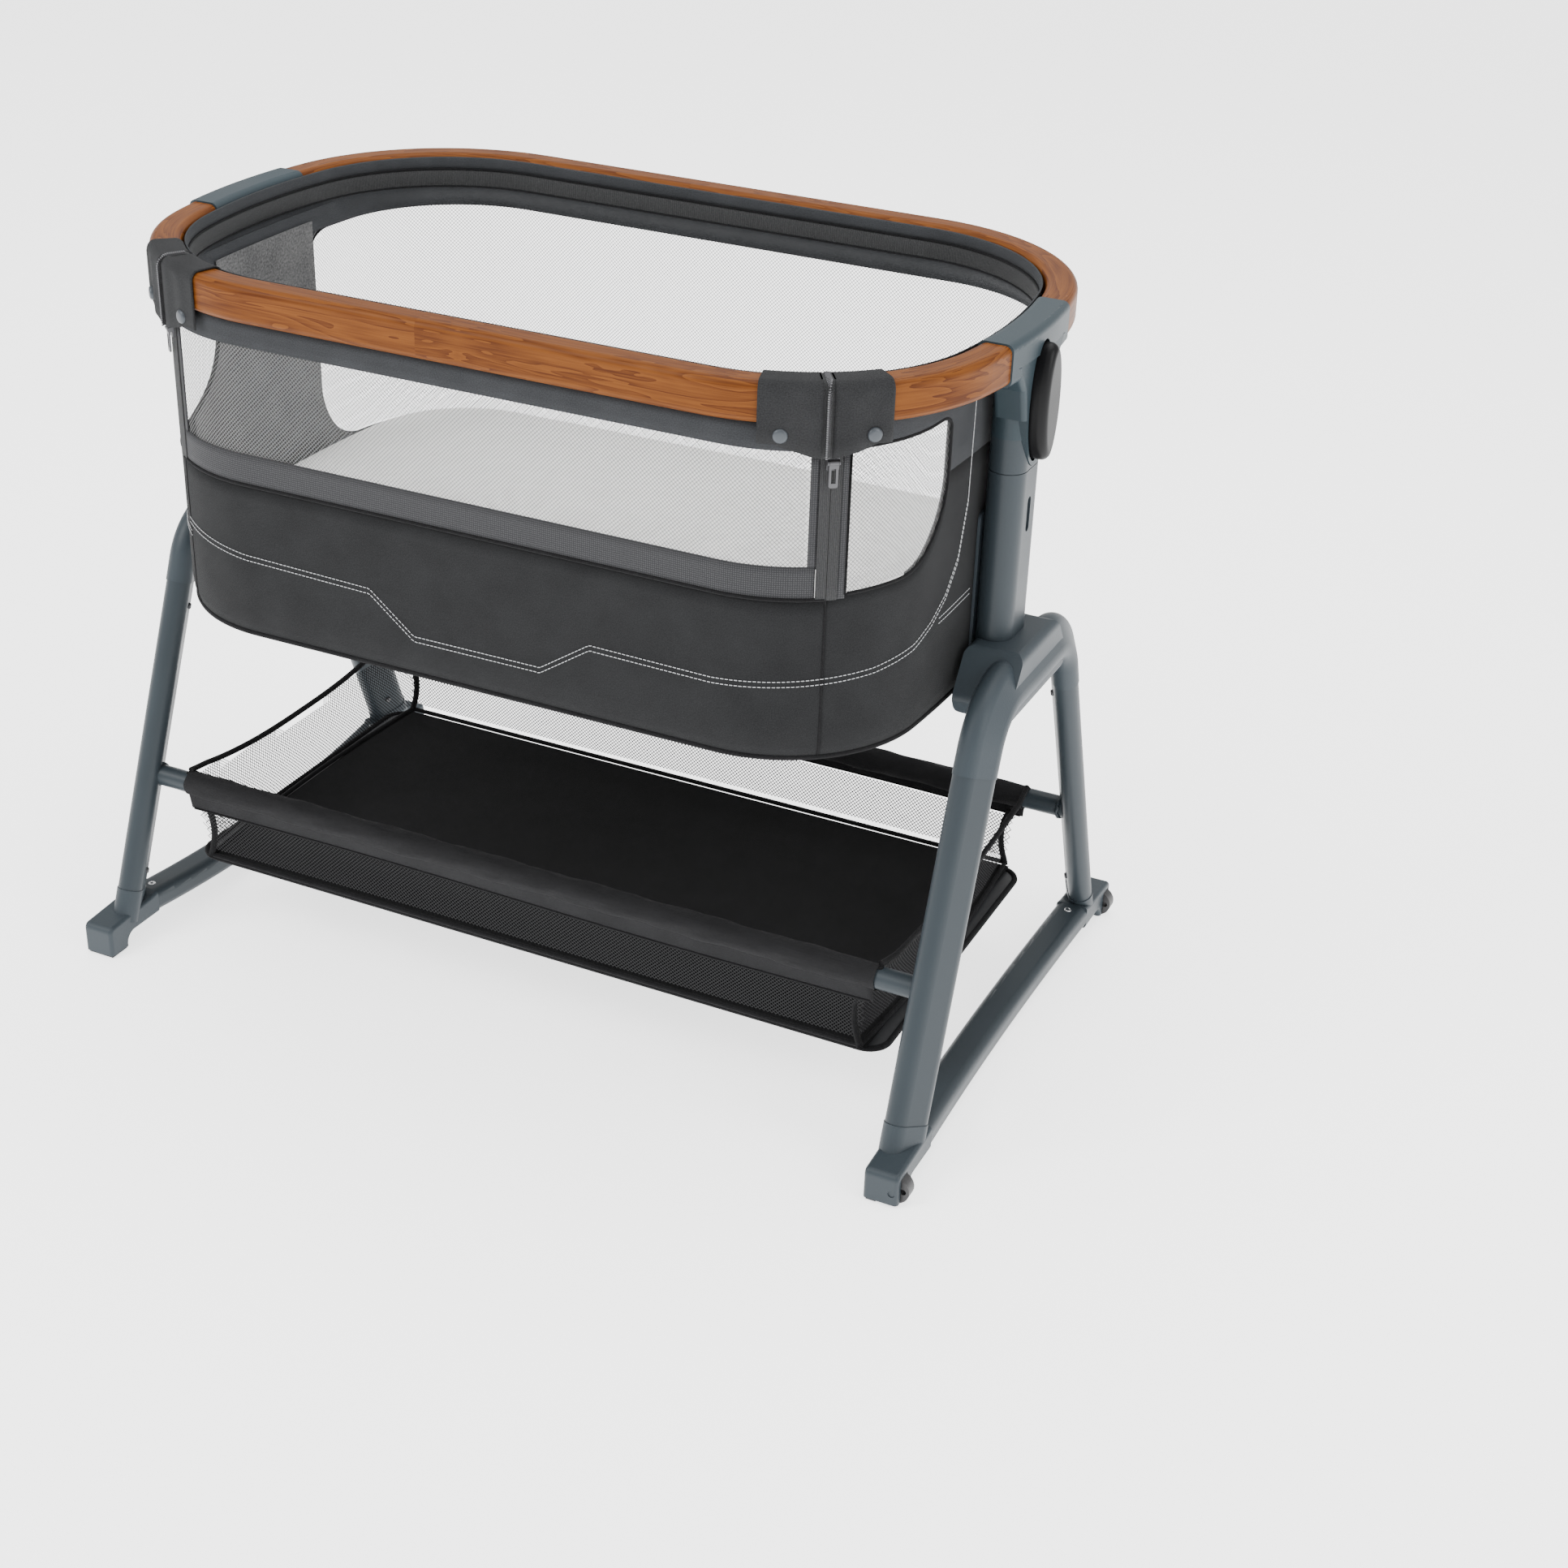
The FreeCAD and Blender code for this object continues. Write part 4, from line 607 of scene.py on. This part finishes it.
zipRoom = 0.0048
coverSpans = {"panel": (rim.distance(0.281, -0.265), rimZip - zipRoom),
              "corner": (rimZip + zipRoom, rim.distance(0.378, -0.2056))}
for kind, (first, last) in coverSpans.items():
    body = "drop_side" if kind == "panel" else "bassinet"
    for sign, end in leftRight:
        u = spread(first, last, 0.0025)
        toZip = np.clip(1 - np.abs(u - rimZip) / 0.042, 0, 1)
        low = 0.7005 - 0.013 * toZip ** 0.8
        ripple = 0.0007 * np.sin((u - first) * 240) * np.clip(np.abs(u - first) * 60, 0, 1)
        rows = [(inset + (ripple if index < 5 else 0), height) for index, (inset, height)
                in enumerate(coverRows(low))]
        side = u if sign > 0 else rim.length - u[::-1]
        if sign < 0:
            rows = [(np.broadcast_to(a, u.shape)[::-1], np.broadcast_to(b, u.shape)[::-1]) for a, b in rows]
        made = gridSheet("cover_%s_%s" % (kind, end), rim, side, rows, coverCloth, body, thickness=0.0016)
        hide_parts("cover_%s_%s" % (kind, end))
for sign, end in leftRight:
    u = sorted((sign * (rimZip - 0.0065), sign * (rimZip + 0.0065)))
    gridSheet("zipTape_" + end, rim, np.linspace(*u, 7), coverRows(0.689, 0.0011), webbing, "bassinet",
              thickness=0.0008)
print("covers built")


# Small repeated pieces, placed along lines by a node group --------------------------------

def repeatAlong(name, polyline, spacing, unit, look, body):
    """Copies of a small unit mesh along a line, turned to follow it."""
    line = bpy.data.meshes.new(name + "Line")
    line.from_pydata([tuple(point) for point in polyline], [(i, i + 1) for i in range(len(polyline) - 1)], [])
    made = bpy.data.objects.new(name + "Source", line)
    bpy.context.scene.collection.objects.link(made)
    group = bpy.data.node_groups.new(name + "Repeat", "GeometryNodeTree")
    group.interface.new_socket("Geometry", in_out="INPUT", socket_type="NodeSocketGeometry")
    group.interface.new_socket("Spacing", in_out="INPUT", socket_type="NodeSocketFloat")
    group.interface.new_socket("Unit", in_out="INPUT", socket_type="NodeSocketObject")
    group.interface.new_socket("Geometry", in_out="OUTPUT", socket_type="NodeSocketGeometry")
    make, join = group.nodes.new, group.links.new
    start, finish = make("NodeGroupInput"), make("NodeGroupOutput")
    curve, resample = make("GeometryNodeMeshToCurve"), make("GeometryNodeResampleCurve")
    resample.mode = "LENGTH"
    tangent, turn = make("GeometryNodeInputTangent"), make("FunctionNodeAlignRotationToVector")
    turn.axis = "X"
    info, instance = make("GeometryNodeObjectInfo"), make("GeometryNodeInstanceOnPoints")
    realize, paintIt = make("GeometryNodeRealizeInstances"), make("GeometryNodeSetMaterial")
    paintIt.inputs["Material"].default_value = look
    join(start.outputs["Geometry"], curve.inputs[0])
    join(curve.outputs[0], resample.inputs["Curve"])
    join(start.outputs["Spacing"], resample.inputs["Length"])
    join(resample.outputs[0], instance.inputs["Points"])
    join(start.outputs["Unit"], info.inputs[0])
    join(info.outputs["Geometry"], instance.inputs["Instance"])
    join(tangent.outputs[0], turn.inputs["Vector"])
    join(turn.outputs[0], instance.inputs["Rotation"])
    join(instance.outputs[0], realize.inputs[0])
    join(realize.outputs[0], paintIt.inputs[0])
    join(paintIt.outputs[0], finish.inputs[0])
    modifier = made.modifiers.new("repeat", "NODES")
    modifier.node_group = group
    sockets = {item.name: item.identifier for item in group.interface.items_tree if item.in_out == "INPUT"}
    modifier[sockets["Spacing"]] = spacing
    modifier[sockets["Unit"]] = unit
    made.update_tag()
    graph = bpy.context.evaluated_depsgraph_get()
    data = bpy.data.meshes.new_from_object(made.evaluated_get(graph), depsgraph=graph)
    data.name = name
    if not data.materials:
        data.materials.append(look)
    bpy.data.objects.remove(made)
    final = bpy.data.objects.new(name, data)
    bpy.context.scene.collection.objects.link(final)
    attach(final, body)
    return final


def unitShape(name, length, width, height, rounding=0.4):
    """Rounded block lying along X, used as the unit of a repeat and then removed."""
    mesh = bmesh.new()
    bmesh.ops.create_cube(mesh, size=1.0)
    bmesh.ops.scale(mesh, vec=(length, width, height), verts=mesh.verts)
    bmesh.ops.bevel(mesh, geom=mesh.edges[:], offset=min(width, height) * rounding * 0.5, segments=2,
                    affect="EDGES")
    data = bpy.data.meshes.new(name)
    mesh.to_mesh(data)
    mesh.free()
    return bpy.data.objects.new(name, data)


def tubLine(points, inset=-0.0006, step=0.003):
    """Line on the tub through (distance, height) points, finely divided."""
    points = np.array(points)
    gaps = np.concatenate([[0], np.cumsum(np.hypot(*np.diff(points, axis=0).T))])
    run = spread(0, gaps[-1], step)
    u, z = np.interp(run, gaps, points[:, 0]), np.interp(run, gaps, points[:, 1])
    x, y = tub.at(u, inset + hem(z))
    return np.stack([x, y, z], 1)


stitch = unitShape("stitchUnit", 0.0030, 0.0006, 0.0006)
uPost = endU - 0.052
seamPath = [(-zipU, 0.495), (-0.248, 0.486), (-0.110, 0.482), (-0.063, 0.444), (0.071, 0.444), (0.122, 0.478),
            (0.242, 0.476), (zipU, 0.482)]
cornerPath = [(zipU, 0.482), (zipU + 0.05, 0.485), (zipU + 0.10, 0.492), (endU - 0.115, 0.503),
              (endU - 0.088, 0.520), (endU - 0.066, 0.548), (uPost, 0.60), (uPost + 0.002, 0.70)]
branchPath = [(endU - 0.098, 0.500), (uPost, 0.503), (endU - 0.034, 0.504)]
backPath = [(endU + 0.034, 0.500), (endU + 0.070, 0.474), (endU + 0.130, 0.444), (total / 2, 0.438)]


def shifted(path, drop, sign=1):
    return [(sign * u, z - drop) for u, z in path]


stitchStep, toothStep, rowGap = 0.0042, 0.0019, 0.0052
for row, drop in (("upper", 0.0), ("lower", rowGap)):
    repeatAlong("stitchFront_" + row, tubLine(shifted(seamPath, drop)), stitchStep, stitch,
                stitchThread, "bassinet")
    for sign, end in leftRight:
        for label, path in (("Corner", cornerPath), ("Branch", branchPath), ("Back", backPath)):
            repeatAlong("stitch%s_%s_%s" % (label, end, row), tubLine(shifted(path, drop, sign)),
                        stitchStep, stitch, stitchThread, "bassinet")

# Zip teeth over the covers
tooth = unitShape("toothUnit", 0.0012, 0.0052, 0.0018)
for sign, end in leftRight:
    faceZ = np.linspace(0.690, 0.7455, 40)
    x, y = rim.at(np.full(40, sign * rimZip), -skin - 0.0006)
    line = list(np.stack([x, y, faceZ], 1))
    for turn in np.linspace(0, math.pi / 2, 6)[1:]:
        x, y = rim.at(np.array([sign * rimZip]), -skin - 0.0006 + 0.0085 * (1 - math.cos(turn)))
        line.append((x[0], y[0], 0.7455 + 0.0095 * math.sin(turn)))
    for inset in np.linspace(0.007, 0.022, 8):
        x, y = rim.at(np.array([sign * rimZip]), inset)
        line.append((x[0], y[0], 0.7552))
    repeatAlong("zipTeeth_" + end, np.array(line), toothStep, tooth, zipMetal, "bassinet")
for unit in (stitch, tooth):
    bpy.data.objects.remove(unit)
print("stitches and zips built")


# Snaps, screws and welds ------------------------------------------------------------------

def disc(name, centre, facing, radius, height, look, body, dish=0.0):
    """Low domed stud with a small lip, turned to face along a direction."""
    profile = [(0, height), (radius * 0.55, height * 0.98), (radius * 0.85, height * 0.8),
               (radius, height * 0.35), (radius, -0.001)]
    if dish:
        profile = [(0, height - dish), (radius * 0.35, height - dish), (radius * 0.45, height)] + profile[2:]
    sides = 28
    vertices, faces = [], []
    for reach, level in profile:
        for turn in np.linspace(0, 2 * math.pi, sides, endpoint=False):
            vertices.append((reach * math.cos(turn), reach * math.sin(turn), level))
    for ring in range(len(profile) - 1):
        for step in range(sides):
            near = (step + 1) % sides
            faces.append((ring * sides + step, (ring + 1) * sides + step,
                          (ring + 1) * sides + near, ring * sides + near))
    turn = Vector((0, 0, 1)).rotation_difference(Vector(facing)).to_matrix()
    vertices = [turn @ Vector(vertex) + Vector(centre) for vertex in vertices]
    return meshObject(name, vertices, faces, look, body)


screwY, screwRadius, weldRadius, weldIn = 0.211, 0.0044, 0.0113, 0.0035
for kind, spotU, body in (("panel", rim.distance(0.300, -0.2574), "drop_side"),
                          ("corner", rim.distance(0.366, -0.2163), "bassinet")):
    for sign, end in leftRight:
        x, y = rim.at(np.array([sign * spotU, sign * spotU]), np.array([-skin - 0.0002, -0.05]))
        facing = (x[1] - x[0], y[1] - y[0], 0)
        disc("coverSnap_%s_%s" % (kind, end), (x[0], y[0], 0.7085), facing, 0.0064, 0.0026, snapMetal, body)
for side, sideName in frontBack:
    for along, end in leftRight:
        low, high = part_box("foot_%s_%s" % (sideName, end))
        middle = (low.x + high.x) / 2
        for label, height, way in (("footScrew", 0.0402, 1), ("footScrewUnder", 0.0166, -1)):
            disc("%s_%s_%s" % (label, sideName, end), (middle, side * screwY, height), (0, 0, way),
                 screwRadius, 0.0016, zinc, "stand", dish=0.001)
        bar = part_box("crossbar_" + sideName)
        barY, barZ = (bar[0].y + bar[1].y) / 2, (bar[0].z + bar[1].z) / 2
        reach = bar[1].x - weldIn if along > 0 else bar[0].x + weldIn
        ring = []
        for turn in np.linspace(0, 2 * math.pi, 40, endpoint=False):
            wobble = 0.0005 * math.sin(7 * turn) + 0.0004 * math.sin(13 * turn + 1)
            cope = 0.0022 * math.cos(turn) * side
            ring.append((reach + along * (cope - 0.001) + wobble, barY + weldRadius * math.cos(turn),
                         barZ + weldRadius * math.sin(turn)))
        tube("weld_%s_%s" % (sideName, end), ring, 0.0022, slate, "stand", closed=True)
print("fittings built")


# Mattress under its sheet -----------------------------------------------------------------

def puckers(x, y, seed):
    """Broad soft unevenness of a stretched sheet."""
    value = 0
    for index in range(6):
        turn = seed * 1.7 + index * 2.1
        reach = 9 + 7 * index
        wave = np.sin((x * math.cos(turn) + y * math.sin(turn)) * reach + index * 1.3 + seed)
        value = value + wave / (1.5 + index)
    return value


u = spread(0, total, 0.008)
crown, unevenness = 0.4776, 0.0014
profile = [(0.030, 0.4195), (0.018, 0.4205), (0.0125, 0.427), (0.0095, 0.437), (0.009, 0.447),
           (0.0105, 0.457), (0.0145, 0.4645), (0.022, 0.4695), (0.034, 0.4725), (0.050, 0.4742),
           (0.070, 0.4756), (0.095, 0.4768), (0.125, crown)]
grid = []
for inset, height in profile:
    x, y = tub.at(u, inset)
    rise = unevenness * puckers(x, y, 2) * min(1, max(0, (height - 0.425) / 0.04))
    grid.append(np.stack([x, y, height + rise], 1))
for share in np.linspace(0.9, 0.0, 18):
    base = grid[len(profile) - 1]
    x, y = midX + (base[:, 0] - midX) * share, base[:, 1] * share
    rise = unevenness * puckers(x, y, 2)
    grid.append(np.stack([x, y, crown + 0.0006 * (1 - share) + rise], 1))
grid = np.array(grid)
mattress = meshObject("mattressSheet", grid.reshape(-1, 3), gridFaces(*grid.shape[:2]), sheetCloth,
                      "bassinet", uv=grid[:, :, :2].reshape(-1, 2))
clean = bmesh.new()
clean.from_mesh(mattress.data)
bmesh.ops.remove_doubles(clean, verts=clean.verts, dist=0.0002)
bmesh.ops.recalc_face_normals(clean, faces=clean.faces)
clean.to_mesh(mattress.data)
clean.free()
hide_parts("mattress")
print("mattress built")


# Storage basket ---------------------------------------------------------------------------

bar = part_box("crossbar_front")
barY, barZ = -(bar[0].y + bar[1].y) / 2, (bar[0].z + bar[1].z) / 2
sleeveX, endX = 0.392, 0.386
floorZ, wallY, netTop, endTop = 0.0885, 0.1945, 0.146, 0.180
clothRadius, hemRadius = 0.0128, 0.0026
floorHalfX, floorHalfY = 0.382, 0.192


def wallAt(side):
    """Face of a long basket side: heights run down from the bar to the floor."""
    def place(x, z):
        share = np.clip((z - floorZ) / (barZ - floorZ), 0, 1)
        sag = 0.003 * np.sin(x * 9) * np.sin(share * math.pi)
        return x + midX, side * (wallY + (barY + 0.010 - wallY) * share ** 2 + sag), z
    return place


def endAt(along):
    """Face of a short basket end: it hangs in a shallow curve from corner to corner."""
    def place(y, z):
        share = np.clip((z - floorZ) / (endTop - floorZ), 0, 1)
        bulge = 0.009 * (1 - (y / wallY) ** 2)
        x = along * (0.376 + 0.017 * share ** 1.5 - 0.012 * np.sin(share * math.pi) + bulge)
        return x + midX, y, z
    return place


def topLine(y):
    return 0.168 + 0.018 * np.abs(y / wallY) ** 2.4


def surface(name, place, first, second, look, body, thickness=0.001):
    """Grid over a placing function of two values."""
    a, b = np.meshgrid(first, second)
    x, y, z = place(a, b)
    points = np.stack([np.broadcast_to(value, a.shape) for value in (x, y, z)], 2)
    made = meshObject(name, points.reshape(-1, 3), gridFaces(*a.shape), look, body,
                      np.stack([a, b], 2).reshape(-1, 2))
    if thickness:
        solid = made.modifiers.new("thickness", "SOLIDIFY")
        solid.thickness = thickness
    return made


for side, sideName in frontBack:
    runX = spread(-sleeveX, sleeveX, 0.006)

    def sleevePlace(x, turn, side=side):
        crease = 0.0008 * np.sin(x * 55 + 3 * np.sin(turn * 2)) + 0.0006 * np.sin(x * 131 + turn * 3)
        radius = clothRadius + crease * 0.7
        return x + midX, side * barY + radius * np.cos(turn), barZ + radius * np.sin(turn)

    sleeveCloth = surface("basketSleeve_" + sideName, sleevePlace, runX, np.linspace(0, 2 * math.pi, 25),
                          basketCloth, "stand", thickness=0)
    place = wallAt(side)
    flap = surface("basketFlap_" + sideName, lambda x, z, place=place: (
        place(x, z)[0], place(x, z)[1] + np.sign(place(x, z)[1]) * 0.0012, z),
        spread(-sleeveX + 0.003, sleeveX - 0.003, 0.006), np.linspace(netTop, barZ, 8), basketCloth, "stand")
    edge = spread(-endX, endX, 0.01)
    x, y, z = place(edge, np.full(len(edge), netTop))
    tube("flapHem_" + sideName, np.stack([x, y + side * 0.0015, z], 1), 0.0011, binding, "stand",
         sides=6)
    edge = spread(-0.378, 0.378, 0.01)
    x, y, z = place(edge, np.full(len(edge), floorZ + 0.0005))
    tube("wallHem_" + sideName, np.stack([x, y, z], 1), hemRadius, binding, "stand")
    netMesh("basketNet_" + sideName, place, (-0.385, 0.385), (floorZ, netTop + 0.004),
            lambda x, z: ((np.abs(x) < 0.378 + 0.010 * ((z - floorZ) / 0.08) ** 2)
                          & (z > floorZ) & (z < netTop + 0.003)),
            darkThread, "stand", pitch=0.0030, width=0.0009)
for along, end in leftRight:
    place = endAt(along)
    runY = spread(-wallY, wallY, 0.005)
    netMesh("basketNet_" + end, lambda y, z, place=place: place(y, z), (-wallY, wallY), (floorZ, 0.187),
            lambda y, z: (np.abs(y) < wallY) & (z > floorZ) & (z < topLine(y)), darkThread, "stand",
            pitch=0.0030, width=0.0009)
    for label, height, radius in (("Top", topLine(runY), 0.0030),
                                  ("Low", np.full(len(runY), floorZ), hemRadius)):
        x, y, z = place(runY, height)
        tube("endHem%s_%s" % (label, end), np.stack([x, y, z], 1), radius, binding, "stand")
    for side, sideName in frontBack:
        z = np.linspace(floorZ - 0.002, 0.184, 22)
        x, y, z = place(np.full(22, side * wallY), z)
        y = side * (wallY + (barY - wallY) * np.clip((z - floorZ) / (barZ - floorZ), 0, 1) ** 2)
        tube("cornerHem_%s_%s" % (sideName, end), np.stack([x, y, z], 1), 0.0034, binding, "stand")


def basketFloorAt(x, y):
    return x + midX, y, floorZ - 0.0016 - 0.001 * np.cos(x * 4) * np.cos(y * 7)


floorSheet = surface("basketFloor", basketFloorAt, spread(-floorHalfX, floorHalfX, 0.02),
                     spread(-floorHalfY, floorHalfY, 0.02), floorCloth, "stand", thickness=0)
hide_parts("basket")


def boardEdge():
    """Rounded rectangle round the basket's board."""
    halfX, halfY, corner, boardZ = 0.396, 0.190, 0.022, 0.0832
    points = []
    for quarter in range(4):
        for turn in np.linspace(quarter * math.pi / 2, (quarter + 1) * math.pi / 2, 10):
            centreX = (halfX - corner) * (1 if quarter in (0, 3) else -1)
            centreY = (halfY - corner) * (1 if quarter in (0, 1) else -1)
            points.append((centreX + corner * math.cos(turn) + midX,
                           centreY + corner * math.sin(turn), boardZ))
    return points


tube("boardBinding", boardEdge(), 0.0032, binding, "stand", closed=True)
print("basket built")


# Room, light and camera -------------------------------------------------------------------

floorData = bpy.data.meshes.new("paleFloor")
reach = 40.0
floorData.from_pydata([(-reach, -reach, 0), (reach, -reach, 0), (reach, reach, 0), (-reach, reach, 0)],
                      [], [(0, 1, 2, 3)])
floor = bpy.data.objects.new("paleFloor", floorData)
bpy.context.scene.collection.objects.link(floor)
floorLook, _, floorShader = newMaterial("paleFloor")
floorShader.inputs["Base Color"].default_value = (0.95, 0.95, 0.95, 1)
floorShader.inputs["Emission Color"].default_value = (1, 1, 1, 1)
floorShader.inputs["Emission Strength"].default_value = 1.9
floorShader.inputs["Roughness"].default_value = 0.9
floorData.materials.append(floorLook)

world = bpy.data.worlds.new("studio")
world.use_nodes = True
world.node_tree.nodes["Background"].inputs[0].default_value = (1, 1, 1, 1)
world.node_tree.nodes["Background"].inputs[1].default_value = 1.1
bpy.context.scene.world = world


def softbox(name, place, target, size, power):
    light = bpy.data.lights.new(name, "AREA")
    light.shape = "RECTANGLE"
    light.size, light.size_y = size
    light.energy = power
    lamp = bpy.data.objects.new(name, light)
    lamp.location = place
    lamp.rotation_euler = (Vector(target) - Vector(place)).to_track_quat("-Z", "Y").to_euler()
    bpy.context.scene.collection.objects.link(lamp)


softbox("keyLight", (-1.8, -2.4, 3.0), (0, 0, 0.4), (1.8, 1.8), 105)
softbox("topLight", (0.3, 0.4, 3.4), (0, 0, 0.4), (3.0, 2.4), 85)
softbox("sideLight", (3.0, -0.6, 1.8), (0.2, 0, 0.5), (1.2, 1.8), 40)

azimuth, elevation, roll = (math.radians(value) for value in (24.2394, 28.6339, 2.1911))
focalPixels, framePixels = 3015.632, 1932
forward = Vector((-math.sin(azimuth) * math.cos(elevation), math.cos(azimuth) * math.cos(elevation),
                  -math.sin(elevation)))
right = Vector((math.cos(azimuth), math.sin(azimuth), 0))
up = right.cross(forward)
tilted = right * math.cos(roll) + up * math.sin(roll)
upright = up * math.cos(roll) - right * math.sin(roll)
camera = bpy.data.objects.new("photoCamera", bpy.data.cameras.new("photoCamera"))
camera.data.sensor_width = 36.0
camera.data.lens = camera.data.sensor_width * focalPixels / framePixels
camera.matrix_world = Matrix((
    (tilted.x, upright.x, -forward.x, 1.0919 + midX), (tilted.y, upright.y, -forward.y, -1.9829),
    (tilted.z, upright.z, -forward.z, 1.4192), (0, 0, 0, 1)))
bpy.context.scene.collection.objects.link(camera)
bpy.context.scene.camera = camera
